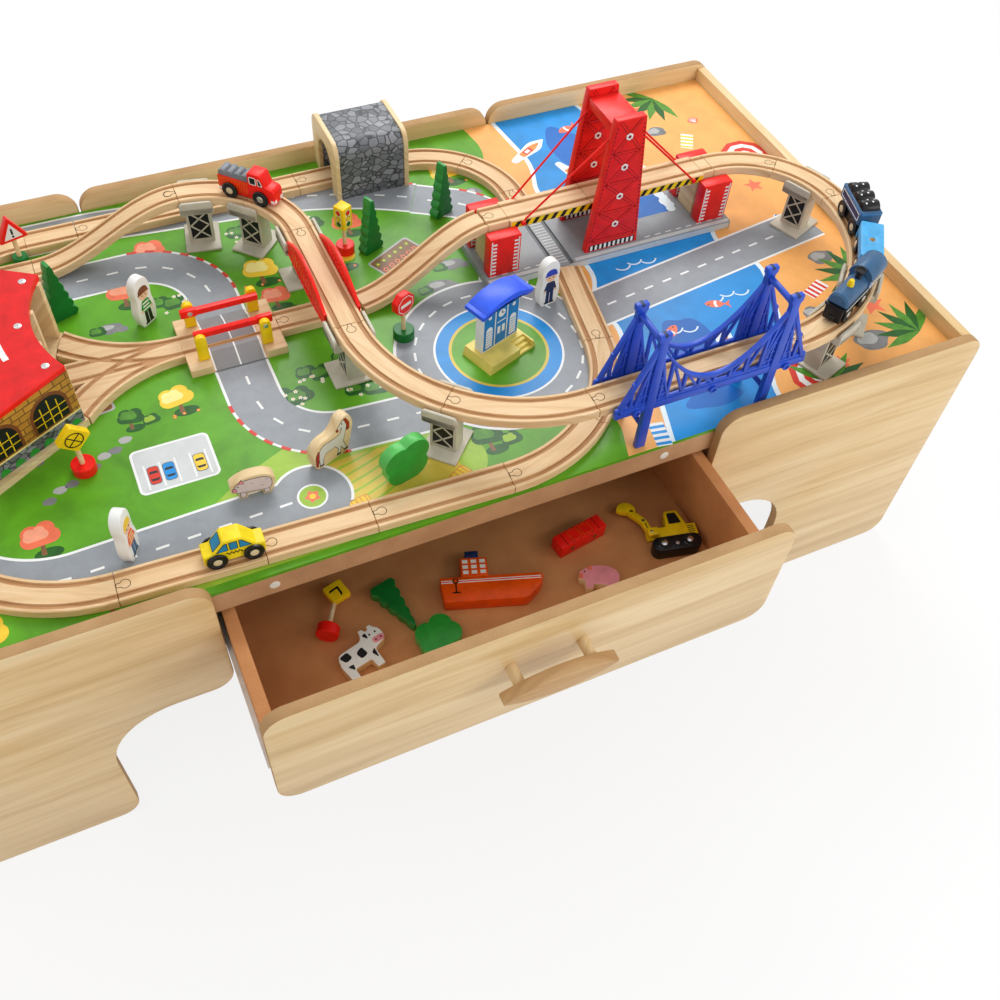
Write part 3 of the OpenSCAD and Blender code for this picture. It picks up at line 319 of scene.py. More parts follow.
STONES = rubble("grey_rubble", (88, 91, 96), (142, 145, 150), (50, 52, 56), 80)
GREIGE = moulded("greige_plastic", (196, 190, 172), 0.45)
BLUE_PLASTIC = moulded("royal_blue_plastic", (36, 78, 196))
WHEEL_BLACK = moulded("black_plastic", (22, 22, 24), 0.25)
SILVER = metal("bright_steel", (214, 214, 212), 0.25)
RUNNER_WHITE = moulded("white_enamel", (226, 226, 222), 0.4)
CAP_WHITE = moulded("white_plastic", (236, 234, 226), 0.35)
GRASS = print_ink("grass_ink", (92, 160, 30), 0.26, 14)
MEADOW = print_ink("meadow_ink", (152, 188, 58), 0.16, 20)
STRAW = print_ink("straw_ink", (216, 192, 76), 0.12, 26)
ROAD = print_ink("road_ink", (146, 152, 158), 0.07, 60)
ROAD_WHITE = print_ink("road_white_ink", (238, 240, 238), 0.03, 40)
KERB_RED = print_ink("kerb_red_ink", (214, 60, 44), 0.06, 40)
WATER = print_ink("water_ink", (30, 142, 216), 0.18, 16)
DEEP = print_ink("deep_water_ink", (18, 104, 190), 0.12, 18)
FOAM = print_ink("foam_ink", (226, 242, 248), 0.04, 40)
SAND = print_ink("sand_ink", (240, 174, 98), 0.1, 24)
SAND_DARK = print_ink("sand_dark_ink", (214, 140, 66), 0.1, 24)
ROCK = print_ink("rock_ink", (124, 126, 126), 0.2, 60)
ROCK_LIGHT = print_ink("rock_light_ink", (176, 178, 176), 0.12, 60)
BUSH_DARK = print_ink("bush_dark_ink", (34, 92, 30), 0.25, 90)
BUSH_LIGHT = print_ink("bush_light_ink", (82, 142, 44), 0.25, 90)
BLOOM = print_ink("bloom_ink", (246, 206, 60), 0.08, 60)
CORAL = print_ink("coral_ink", (238, 118, 84), 0.12, 60)
SOIL = print_ink("soil_ink", (132, 92, 58), 0.16, 70)
BLOSSOM = print_ink("blossom_ink", (248, 164, 132), 0.1, 60)
CREAM_INK = print_ink("cream_ink", (252, 236, 150), 0.06, 60)
BLACK_INK = print_ink("black_ink", (44, 46, 50), 0.1, 60)


# Shapes
def ease(tmp, edges, offset, segments=2):
    bmesh.ops.bevel(tmp, geom=edges, offset=offset, affect="EDGES", segments=segments, profile=0.5,
                    material=-1)


def rims(tmp):
    """The edges between a shape's flat ends and its sides."""
    return [e for e in tmp.edges if sum(abs(f.normal.z) > UPRIGHT for f in e.link_faces) == 1]


def outlined_face(tmp, corners, steps):
    """A flat face from corners (x, y[, radius])."""
    verts = [tmp.verts.new((c[0], c[1], 0)) for c in corners]
    tmp.faces.new(verts)
    for v, c in zip(verts, corners):
        if len(c) > 2 and c[2] > 0:
            bmesh.ops.bevel(tmp, geom=[v], offset=c[2], affect="VERTICES", segments=steps, profile=0.5,
                            material=-1)
    return tmp.faces[:][0]


def inset(tmp, face, width):
    face.normal_update()
    bmesh.ops.inset_region(tmp, faces=[face], thickness=width, use_boundary=True, use_even_offset=True)


def thicken(tmp, depth):
    """Raises all faces and closes the sides under them."""
    grown = bmesh.ops.extrude_face_region(tmp, geom=tmp.faces[:])["geom"]
    bmesh.ops.translate(tmp, verts=[v for v in grown if isinstance(v, bmesh.types.BMVert)], vec=(0, 0, depth))


class Piece:
    """Collects shapes, in millimetres in the frame that place() gives, into one mesh."""

    CREASE = math.radians(38)

    def __init__(self, base=ON_BOARD, pose=None):
        self.bm = bmesh.new()
        self.bm.loops.layers.uv.new("grain")
        self.base = base
        self.pose = pose or Matrix()
        self.materials = []

    def place(self, x=0.0, y=0.0, z=0.0, degrees=0.0):
        self.pose = move(x, y, z) @ turn(degrees)
        return self

    def index(self, material):
        if material not in self.materials:
            self.materials.append(material)
        return self.materials.index(material)

    def add(self, tmp, material, local=None, rim=None, along=ALONG_X, groove=None):
        """Takes a shape in; rim is the material of faces that don't lie flat in the shape's own frame,
        groove that of faces between marked corners."""
        bmesh.ops.recalc_face_normals(tmp, faces=tmp.faces)
        grain = tmp.loops.layers.uv.new("grain")
        ahead = Vector(along).normalized()
        side = Vector((-ahead.y, ahead.x, 0)) if abs(ahead.z) < UPRIGHT else Vector((1, 0, 0))
        du, dv = draw.uniform(0, 9), draw.uniform(0, 9)
        body, edge = self.index(material), self.index(rim or material)
        dip = self.index(groove) if groove else body
        mark = tmp.verts.layers.int.get("groove")
        for f in tmp.faces:
            f.material_index = body if rim is None or abs(f.normal.z) > UPRIGHT else edge
            if mark and all(v[mark] for v in f.verts):
                f.material_index = dip
            for loop in f.loops:
                p = loop.vert.co
                loop[grain].uv = (p.dot(ahead) * MM + du, (p.dot(side) + 0.8 * p.z) * MM + dv)
        place = self.base @ self.pose @ (local or Matrix())
        tmp.transform(place)
        if place.determinant() < 0:
            bmesh.ops.reverse_faces(tmp, faces=tmp.faces)
        if mark:
            tmp.verts.layers.int.remove(mark)
        mesh = bpy.data.meshes.new("tmp")
        tmp.to_mesh(mesh)
        tmp.free()
        self.bm.from_mesh(mesh)
        bpy.data.meshes.remove(mesh)

    def slab(self, corners, depth, material, local=None, soft=0.7, steps=5, rim=None, seam=False, rounds=2):
        """A flat cut-out from corners (x, y[, radius]) that rises in Z; a seam keeps edges on y = 0 sharp."""
        tmp = bmesh.new()
        outlined_face(tmp, corners, steps)
        thicken(tmp, depth)
        bmesh.ops.recalc_face_normals(tmp, faces=tmp.faces)
        if soft:
            lips = [e for e in rims(tmp) if not (seam and all(abs(v.co.y) < 0.01 for v in e.verts))]
            ease(tmp, lips, soft, rounds)
        self.add(tmp, material, local, rim)

    def cut(self, corners, depth, material, local=None, soft=0.7, steps=5, rim=None, rounds=2):
        """A cut-out that stands in the XZ plane, centred on Y."""
        local = (local or Matrix()) @ move(0, depth / 2, 0) @ STAND
        self.slab(corners, depth, material, local, soft, steps, rim, False, rounds)

    def decal(self, corners, material, y, depth=0.5):
        """A thin print on a standing face."""
        self.cut(corners, depth, material, move(0, y), 0)

    def label(self, corners, material, z, depth=0.5, steps=5):
        """A thin print on a lying face."""
        self.slab(corners, depth, material, move(0, 0, z), 0, steps)

    def badge(self, corners, fill, local, ink=BLACK, line=0.8, depth=0.5):
        """A thin standing print with an outline of even width."""
        tmp = bmesh.new()
        mark = tmp.verts.layers.int.new("groove")
        face = outlined_face(tmp, corners, 3)
        inset(tmp, face, line)
        for v in face.verts:
            v[mark] = 1
        thicken(tmp, depth)
        self.add(tmp, ink, local @ move(0, depth / 2, 0) @ STAND, None, ALONG_X, fill)

    def box(self, size, at, material, soft=0.7, local=None, along=ALONG_X):
        tmp = bmesh.new()
        bmesh.ops.create_cube(tmp, size=1, matrix=move(*at) @ Matrix.Diagonal((*size, 1)))
        if soft:
            ease(tmp, tmp.edges[:], soft)
        self.add(tmp, material, local, None, along)

    def disc(self, r, h, material, local=None, soft=0.5, n=28):
        """A round block that rises from the local origin along Z."""
        tmp = bmesh.new()
        bmesh.ops.create_cone(tmp, cap_ends=True, segments=n, radius1=r, radius2=r, depth=h,
                              matrix=move(0, 0, h / 2))
        if soft:
            ease(tmp, rims(tmp), soft)
        self.add(tmp, material, local, None, ALONG_Z)

    def dot(self, r, depth, material, local, s):
        """A round print on a face that looks along Y or against it."""
        self.disc(r, depth, material, local @ turn(-s * 90, "X"), 0)

    def rod(self, p, q, r, material, n=12):
        p, q = Vector(p), Vector(q)
        aim = (q - p).to_track_quat("Z", "Y").to_matrix().to_4x4()
        self.disc(r, (q - p).length, material, Matrix.Translation(p) @ aim, 0.3, n)

    def bar(self, p, q, width, depth, material, soft=0.5, y=0.0):
        """A straight bar between two points (x, z), depth across Y."""
        (x0, z0), (x1, z1) = p, q
        size = math.hypot(x1 - x0, z1 - z0)
        spin = Matrix.Rotation(-math.atan2(z1 - z0, x1 - x0), 4, "Y")
        self.box((size, depth, width), (size / 2, 0, 0), material, soft, move(x0, y, z0) @ spin)

    def lathe(self, profile, material, local=None, n=28):
        """Turns points (radius, height) about Z; the first and last lie on the axis, unless they are one."""
        tmp = bmesh.new()
        verts = [tmp.verts.new((r, 0, z)) for r, z in profile]
        edges = [tmp.edges.new(pair) for pair in zip(verts, verts[1:])]
        bmesh.ops.spin(tmp, geom=verts + edges, cent=(0, 0, 0), axis=(0, 0, 1), angle=math.tau, steps=n,
                       use_merge=True)
        bmesh.ops.remove_doubles(tmp, verts=tmp.verts, dist=0.001)
        self.add(tmp, material, local, None, ALONG_Z)

    def sweep(self, section, poses, material, local=None, soft=0.0, along=ALONG_X, groove=None, rim=None):
        """Draws a section (y, z[, groove mark]) through matrices that start at the first of them."""
        tmp = bmesh.new()
        mark = tmp.verts.layers.int.new("groove") if groove else None
        ring = [tmp.verts.new((0, c[0], c[1])) for c in section]
        if mark:
            for v, c in zip(ring, section):
                v[mark] = len(c) > 2
        first = face = tmp.faces.new(ring)
        bmesh.ops.transform(tmp, matrix=poses[0], verts=ring)
        for last, here in zip(poses, poses[1:]):
            grown = bmesh.ops.extrude_face_region(tmp, geom=[face])["geom"]
            if face != first:
                bmesh.ops.delete(tmp, geom=[face], context="FACES_ONLY")
            face = next(g for g in grown if isinstance(g, bmesh.types.BMFace))
            bmesh.ops.transform(tmp, matrix=here @ last.inverted(), verts=face.verts[:])
        bmesh.ops.recalc_face_normals(tmp, faces=tmp.faces)
        if soft:
            ease(tmp, list({e for f in (first, face) for e in f.edges}), soft, 1)
        self.add(tmp, material, local, rim, along, groove)

    def done(self, name, body, slot, *nodes):
        """Makes the object, rides it on its body and lets it stand for CAD nodes."""
        for f in self.bm.faces:
            f.smooth = True
        for e in self.bm.edges:
            e.smooth = len(e.link_faces) == 2 and e.calc_face_angle(0) < self.CREASE
        mesh = bpy.data.meshes.new(name)
        self.bm.to_mesh(mesh)
        self.bm.free()
        for m in self.materials:
            mesh.materials.append(m)
        piece = bpy.data.objects.new(name, mesh)
        bpy.context.collection.objects.link(piece)
        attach(piece, body)
        if nodes:
            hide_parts(*nodes)


# Table
LEG = [(0, 0, PANEL_ROUND), (250, 0, PANEL_ROUND), (250, 235, 90), (411, 235, PANEL_ROUND),
       (411, TABLE_H, PANEL_ROUND), (0, TABLE_H, PANEL_ROUND)]
CENTRE = round_box(-316.5, 247, 316.5, 437, PANEL_ROUND)
BACK_PANEL = -FRONT_Y - PANEL_T / 2


def panel(name, body, node, outline, y):
    """An upright laminated board with a bare, well rounded edge."""
    p = Piece()
    p.cut(outline, PANEL_T, ASH, move(0, y, FLOOR), 2.4, 10, EDGE)
    p.done("laminate_" + name, body, "pale_panel", node)


for side, y in (("front", -BACK_PANEL), ("back", BACK_PANEL)):
    for end, s in (("left", 1), ("right", -1)):
        node = f"{side}_{end}_panel"
        panel(node, "table", node, [(s * (c[0] - TABLE_L / 2), *c[1:]) for c in LEG], y)
panel("back_centre", "table", "back_centre_panel", CENTRE, BACK_PANEL)
rails = Piece()
RAIL_X, RAIL_H, RAIL_TOP = 713.5, 110, 21
RAIL_Z = RAIL_TOP - RAIL_H / 2
for s in BOTH:
    rails.box((PANEL_T, BOARD_D, RAIL_H), (s * RAIL_X, 0, RAIL_Z), ASH, 2.0, along=ALONG_Y)
rails.done("laminate_end_rails", "table", "pale_panel", "end_rails")
caps = Piece()
CAP = [(0, 0), (6, 0), (6, 0.5), (5, 1.0), (1.6, 1.0), (1.4, 0.7), (0, 0.7)]
FRONT_CAP_X, FRONT_CAP_Z, END_CAP_Y = 250, -21.5, 307.5
SCREWS = [move(s * FRONT_CAP_X, -BOARD_D / 2, FRONT_CAP_Z) @ STAND for s in BOTH]
for s in BOTH:
    SCREWS += [move(s * (RAIL_X + PANEL_T / 2), k * END_CAP_Y, RAIL_Z) @ turn(s * 90, "Y") for k in BOTH]
for at in SCREWS:
    caps.lathe(CAP, CAP_WHITE, at)
caps.done("white_screw_caps", "table", "white_plastic", "screw_caps")


def softened(name, node, body, slot, finish, soft, dip=None, along=ALONG_X):
    """A copy of a CAD node with its edges eased and, if asked, its groove floors in another material, a darker
    one that paints shade into the grooves.
    """
    p = Piece(Matrix.Scale(MM, 4))
    tmp = bmesh.new()
    tmp.from_mesh(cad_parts[node].data)
    bmesh.ops.remove_doubles(tmp, verts=tmp.verts, dist=1e-6)
    bmesh.ops.dissolve_limit(tmp, angle_limit=math.radians(0.5), verts=tmp.verts, edges=tmp.edges)
    sharp = math.radians(50)
    edges = [e for e in tmp.edges if len(e.link_faces) == 2 and e.calc_face_angle(0) > sharp]
    bmesh.ops.bevel(tmp, geom=edges, offset=soft * MM, affect="EDGES", segments=1, profile=0.5, material=-1,
                    clamp_overlap=True)
    tmp.transform(Matrix.Scale(1 / MM, 4))
    if dip:
        mark = tmp.verts.layers.int.new("groove")
        groove_z, near = BOARD_Z + TRACK_T - GROOVE_D, 0.7
        for v in tmp.verts:
            v[mark] = int(abs(v.co.z - groove_z) < near)
    p.add(tmp, finish, None, None, along, dip)
    p.done(name, body, slot, node)


softened("under_board_rails", "board_rails", "table", "brown_board", BROWN, 0.8)
softened("cheek_boards", "drawer_cheeks", "table", "brown_board", BROWN, 0.8)
softened("channel_strips", "runner_channels", "table", "white_metal", RUNNER_WHITE, 0.15)
softened("runner_strips", "drawer_runners", "drawer", "white_metal", RUNNER_WHITE, 0.15)
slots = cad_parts["play_board"].data.materials
slots.clear()
slots.append(GRASS)

# Drawer
panel("drawer_front", "drawer", "drawer_front", CENTRE, DRAWER_Y + PANEL_T / 2)
BOX_Y, BOX_Z = DRAWER_Y + PANEL_T, 307.5 + FLOOR
BOX_W, BOX_L, BOX_H, SIDE_T = 596, 560, 115, 15
BOX_INNER, BOTTOM_T = BOX_L - SIDE_T, 5
SIDES = [(s * (BOX_W + SIDE_T) / 2, BOX_Y + BOX_L / 2, BOX_Z) for s in BOTH]
for name, node, size, places, soft in (
        ("drawer_side_boards", "drawer_sides", (SIDE_T, BOX_L, BOX_H), SIDES, 0.8),
        ("drawer_back_board", "drawer_back", (BOX_W, SIDE_T, BOX_H),
         [(0, BOX_Y + BOX_L - SIDE_T / 2, BOX_Z)], 0.8),
        ("drawer_floor", "drawer_bottom", (BOX_W, BOX_INNER, BOTTOM_T),
         [(0, BOX_Y + BOX_INNER / 2, DRAWER_FLOOR - BOTTOM_T / 2)], 0.3)):
    tray = Piece()
    for at in places:
        tray.box(size, at, TRAY_BROWN, soft)
    tray.done(name, "drawer", "brown_board", node)
grip = Piece()
GRIP_W, GRIP_H, GRIP_T, GRIP_Z = 148, 36, 15, 364 + FLOOR
DOWEL_X, DOWEL_L, DOWEL_R = 44, 25, 7
LENS_R = (GRIP_W ** 2 / 4 + GRIP_H ** 2 / 4) / GRIP_H
GRIP_FLAT = 70
half = math.degrees(math.asin(GRIP_FLAT / LENS_R))
lens = [arc(0, s * (LENS_R - GRIP_H / 2), LENS_R, a - half, a + half, 20) for s, a in ((-1, 90), (1, 270))]
grip.cut(lens[0] + lens[1], GRIP_T, HANDLE_WOOD, move(0, DRAWER_Y - DOWEL_L - GRIP_T / 2, GRIP_Z), 1.6)
grip.done("handle_grip", "drawer", "pale_panel", "handle_bar")
posts = Piece()
for s in BOTH:
    posts.disc(DOWEL_R, DOWEL_L, PALE_WOOD, move(s * DOWEL_X, DRAWER_Y, GRIP_Z) @ STAND, 0.6)
posts.done("handle_dowels", "drawer", "beech", "handle_posts")

# Track
LIPS, JOINT_GAP = 0.9, 0.35
TRACK_HALF, GROOVE_HALF = TRACK_W / 2, GROOVE_W / 2
GROOVES = []
for s in (1, -1):
    a, b = s * GAUGE / 2 + GROOVE_HALF, s * GAUGE / 2 - GROOVE_HALF
    GROOVES += [(a, TRACK_T), (a, TRACK_T - GROOVE_D, 1), (b, TRACK_T - GROOVE_D, 1), (b, TRACK_T)]
FLAT_HALF = TRACK_HALF - LIPS
SECTION = [(-FLAT_HALF, 0), (FLAT_HALF, 0), (TRACK_HALF, LIPS), (TRACK_HALF, TRACK_T - LIPS),
           (FLAT_HALF, TRACK_T), *GROOVES, (-FLAT_HALF, TRACK_T), (-TRACK_HALF, TRACK_T - LIPS),
           (-TRACK_HALF, LIPS)]
KEYHOLE = [(0, -3)] + arc(10, 0, 6, 210, 510, 22) + [(0, 3)]


def leg_way(leg):
    """Where the section goes along a leg, a hair short at both ends."""
    size, bend = leg
    if bend == 0:
        return [move(JOINT_GAP), move(size - JOINT_GAP)]
    lost = math.degrees(JOINT_GAP / size) * math.copysign(1, bend)
    start = circle_way(size, lost, 1)[-1]
    return [start @ way for way in circle_way(size, bend - 2 * lost)]


def keyhole(p, pose, z):
    """The thin line around a joint's peg, let into the track's top."""
    tmp = bmesh.new()
    face = outlined_face(tmp, KEYHOLE, 1)
    inset(tmp, face, 0.8)
    bmesh.ops.delete(tmp, geom=[face], context="FACES_ONLY")
    thicken(tmp, 0.25)
    p.add(tmp, JOINT, at_pose(pose, z + TRACK_T - 0.2))


def lay(p, pose, leg, z=0.0):
    """One piece of grooved track, with its groove floors darker as painted shade."""
    mid = math.radians(leg[1] / 2)
    p.sweep(SECTION, leg_way(leg), BEECH, at_pose(pose, z), 0.45, (math.cos(mid), math.sin(mid), 0),
            BEECH_GROOVE_SHADE)


RAISED_START = [ARCH_X - TIGHT_R, RAMP1_Y, 0]
RAISED_LEGS = [[TIGHT_R, -45], [TIGHT_R, -45], [193, 0], [RAISED_R, 45], [RAISED_R, 45], [280, 0],
               [RAISED_R, 45], [RAISED_R, 45], [TIGHT_R, 45], [TIGHT_R, 45]]
FRONT_START = [QUAY_X + 2, QUAY_FRONT - 3.573, 260]
FRONT_LEGS = [[146, 0], [LOOP_R, -41.2], [LOOP_R, -41.2], [167, 0], [127, 0], [159, 0], [LOOP_R, -43.8],
              [LOOP_R, -43.8]]
LEFT_POSE = after(FRONT_START, FRONT_LEGS, 8)
LEFT_L = BACK_Y - LOOP_R - LEFT_POSE[1]
BACK_START = [LEFT_POSE[0] + LOOP_R, BACK_Y, 0]
BACK_REST = (TUNNEL_END - BACK_START[0] - 68) / 3
BACK_LEGS = [[68, 0], [BACK_REST, 0], [BACK_REST, 0], [BACK_REST, 0], [TIGHT_R, -45], [TIGHT_R, -45], [67, 0]]
LANDING, RAMP1_L, RAMP2_RUN = 32, 203, 186
RAMP2_TOP = (LIFT_X - DECK_L / 2 - LANDING, LIFT_Y)
RAMP2_END = (RAMP2_TOP[0] - RAMP2_RUN, MID_Y)
RAMP_TILT = math.degrees(math.atan2(LIFT_Y - MID_Y, RAMP2_RUN))
RAMP_WEDGE = TRACK_W / 2 * math.sin(math.radians(RAMP_TILT))
RAMP1_X = RAISED_START[0] - RAMP1_L

straights, bends = Piece(), Piece()
for start, legs, z, back in ((FRONT_START, FRONT_LEGS, 0, 180), (BACK_START, BACK_LEGS, 0, 0),
                             (RAISED_START, RAISED_LEGS, RAISED, 0)):
    for i, leg in enumerate(legs):
        here = after(start, legs, i)
        p = straights if leg[1] == 0 else bends
        lay(p, here, leg, z)
        if i:
            keyhole(p, [here[0], here[1], here[2] + back], z)
CROSS_END = CROSS_X + CROSS_L / 2
for pose, size, z in ((LEFT_POSE, LEFT_L / 2, 0), (step(LEFT_POSE, [LEFT_L / 2, 0]), LEFT_L / 2, 0),
                      ([LEFT_POSE[0] + BRANCH_R, RAMP1_Y, 0], RAMP1_X - LEFT_POSE[0] - BRANCH_R, 0),
                      ([524, LIFT_Y, 180], 19, RAISED), ([RAMP2_TOP[0], LIFT_Y, 0], LANDING, RAISED),
                      ([CROSS_END, MID_Y, 0], RAMP2_END[0] - RAMP_WEDGE - CROSS_END, 0)):
    lay(straights, pose, [size, 0], z)
keyhole(straights, [RAMP2_END[0] - RAMP_WEDGE, MID_Y, 180], 0)
keyhole(straights, [CROSS_END, MID_Y, 0], 0)
straights.done("straight_track_set", "table", "beech", "straight_tracks")
bends.done("curved_track_set", "table", "beech", "curved_tracks")

ramps, STEPS = Piece(), 28
RAMP2_L = math.hypot(RAMP2_RUN, LIFT_Y - MID_Y) - RAMP_WEDGE
for pose, size in (([RAMP1_X, RAMP1_Y, 0], RAMP1_L), ([*RAMP2_END, RAMP_TILT], RAMP2_L)):
    way = [move(size * i / STEPS + JOINT_GAP * ((i == 0) - (i == STEPS)), 0,
                RAISED * (1 - math.cos(math.pi * i / STEPS)) / 2)
           for i in range(STEPS + 1)]
    ramps.sweep(SECTION, way, BEECH, at_pose(pose), 0.45, (1, 0, 0.35), BEECH_GROOVE_SHADE)
keyhole(ramps, RAISED_START[:2] + [180], RAISED)
keyhole(ramps, [*RAMP2_TOP, 0], RAISED)
ramps.done("ramp_track_set", "table", "beech", "ramp_tracks")
softened("fan_turnout", "shed_turnout", "table", "beech", BEECH, 0.5, BEECH_GROOVE_SHADE)
softened("fork_turnout", "branch_turnout", "table", "beech", BEECH, 0.5, BEECH_GROOVE_SHADE, (0.7, 0.7, 0))

# Level crossing
cross = Piece().place(CROSS_X, MID_Y)


def grooved(half, *sides):
    """A grooved block's section; sides are the points of its right side above the foot."""
    return [(-half, 0), (half, 0), *sides] + GROOVES + [(-y, z) for y, z in sides[::-1]]


def eased(half):
    return grooved(half, (half, TRACK_T - LIPS), (half - LIPS, TRACK_T))


PAVED_HALF = 35
for x0, x1 in ((-CROSS_L / 2, -PAVED_HALF), (PAVED_HALF, CROSS_L / 2)):
    cross.sweep(eased(CROSS_HALF), [move(x0), move(x1)], BEECH, soft=0.5, groove=BEECH_GROOVE_SHADE)
cross.sweep(grooved(CROSS_HALF, (CROSS_HALF, 2), (23.5, TRACK_T)), [move(-PAVED_HALF), move(PAVED_HALF)],
            BEECH, groove=BEECH_GROOVE_SHADE)
PAVED = [(move(0, 0, TRACK_T + 0.02), 19.2)]
for s in BOTH:
    PAVED.append((move(0, s * 36, 7.08) @ turn(-s * math.degrees(math.atan2(10, 25)), "X"), 27.2))
    PAVED.append((move(0, s * 19.9, TRACK_T + 0.02), 7.3))
    cross.box((66, 0.4, 1.9), (0, s * CROSS_HALF, 1.1), CROSSING_GREY, 0)
for at, size in PAVED:
    cross.box((66, size, 0.3), (0, 0, 0), CROSSING_GREY, 0, at)
    for x in (-32, 0, 32):
        cross.box((2, size - 0.2, 0.36), (x, 0, 0), ROAD_WHITE, 0, at)
cross.done("crossing_road", "table", "beech", "crossing_block")
POST = symmetric((7, 0, 0.5), (7, 38, 6.9))
POST_X, POST_Y, POST_T, PIN_Z = 41, 32, 8, 31
gates = Piece().place(CROSS_X, MID_Y, TRACK_T)
for x in BOTH:
    for y in BOTH:
        gates.cut(POST, POST_T, YELLOW, move(x * POST_X, y * POST_Y), 0.8, 6)
for s in BOTH:
    x, inner, outer = s * POST_X, -s * (POST_Y - POST_T / 2), -s * (POST_Y + POST_T / 2)
    gates.rod((x, inner, PIN_Z), (x, -s * 17.2, PIN_Z), 1.98, SILVER, 16)
    gates.disc(3.2, 1.4, SILVER, move(x, outer, PIN_Z) @ turn(s * 90, "X"))
gates.done("gate_post_set", "table", "yellow_paint", "crossing_posts")
for name, body, s in (("gate_bar_near", "gate_near", 1), ("gate_bar_far", "gate_far", -1)):
    bar = Piece().place(CROSS_X, MID_Y, TRACK_T + PIN_Z, 0 if s > 0 else 180)
    bar.cut([(-47, -4, 1), (33, -4, 0.5), (33, -5.5, 0.6), (53, -5.5, 1.5), (53, 5.5, 1.5), (33, 5.5, 0.6),
             (33, 4, 0.5), (-47, 4, 1)], 7, RED, move(0, -21.5), 0.6, 3)
    bar.disc(3.4, 0.9, SILVER, move(POST_X, -17.6) @ STAND)
    bar.done("painted_" + name, body, "red_paint", name)

# Pillars
pillars = Piece()
JOINTS = [after(RAISED_START, RAISED_LEGS, i) for i in range(len(RAISED_LEGS))]
for pose in (step(JOINTS[0], [TIGHT_R, -10.5]), *JOINTS[1:5], step(JOINTS[6], [RAISED_R, 20]), JOINTS[7],
             step(JOINTS[8], [TIGHT_R, 22])):
    pillars.place(pose[0], pose[1], 0, pose[2])
    pillars.box((48, 60, 4), (0, 0, 2), GREIGE, 1.2)
    pillars.box((34, 24, 58), (0, 0, 31), GREIGE, 1.0)
    pillars.box((44, 54, 10), (0, 0, 65), GREIGE, 1.0)
    for s in BOTH:
        pillars.cut(round_box(-22, 60, 22, 79, 5), 4, GREIGE, move(0, s * 25), 0.8)
        # Black sheet behind the X bars: painted shade for the dark inside of the open lattice
        pillars.box((26, 0.5, 44), (0, s * 12.1, 32), BLACK, 0)
        for z0 in (11, 32):
            for x in (-12, 12):
                pillars.bar((x, z0), (-x, z0 + 21), 2.2, 1.0, GREIGE, 0.2, s * 12.3)
pillars.done("pillar_set", "table", "grey_plastic", "track_pillars")

# Bridges
arch_bridge = Piece().place(ARCH_X, 6.5, 0, -90)
ARCH_L, STEPS = 147.0, 16
WAVE = [(ARCH_L * (i / STEPS - 0.5), math.sin(math.pi * i / STEPS)) for i in range(STEPS + 1)]
top = [(x, RAISED_TOP + 26 * rise) for x, rise in WAVE]
low = [(x, RAISED - 4 - 6 * rise) for x, rise in WAVE]
for s in BOTH:
    y = s * 22
    for line, size in ((top, 4.5), (low, 5.0)):
        arch_bridge.cut([(x, z + size / 2) for x, z in line[::-1]] + [(x, z - size / 2) for x, z in line], 4,
                        RED, move(0, y), 0.5)
    arch_bridge.cut([low[0], low[-1], (top[-1][0], RAISED_TOP + 3), (top[0][0], RAISED_TOP + 3)], 2.4, RED,
                    move(0, y), 0.3)
    for i in range(1, STEPS - 1):
        arch_bridge.bar((top[i][0], RAISED_TOP + 2), top[i + 1], 2.6, 3.4, RED, 0.4, y)
        arch_bridge.bar(top[i], (top[i + 1][0], RAISED_TOP + 2), 2.6, 3.4, RED, 0.4, y)
    for i in range(STEPS):
        arch_bridge.bar((low[i][0], RAISED - 6), (low[i + 1][0], RAISED_TOP + 2), 1.8, 3.4, RED, 0.3, y)
arch_bridge.done("arch_bridge_lattice", "table", "red_paint", "arch_bridge_sides")

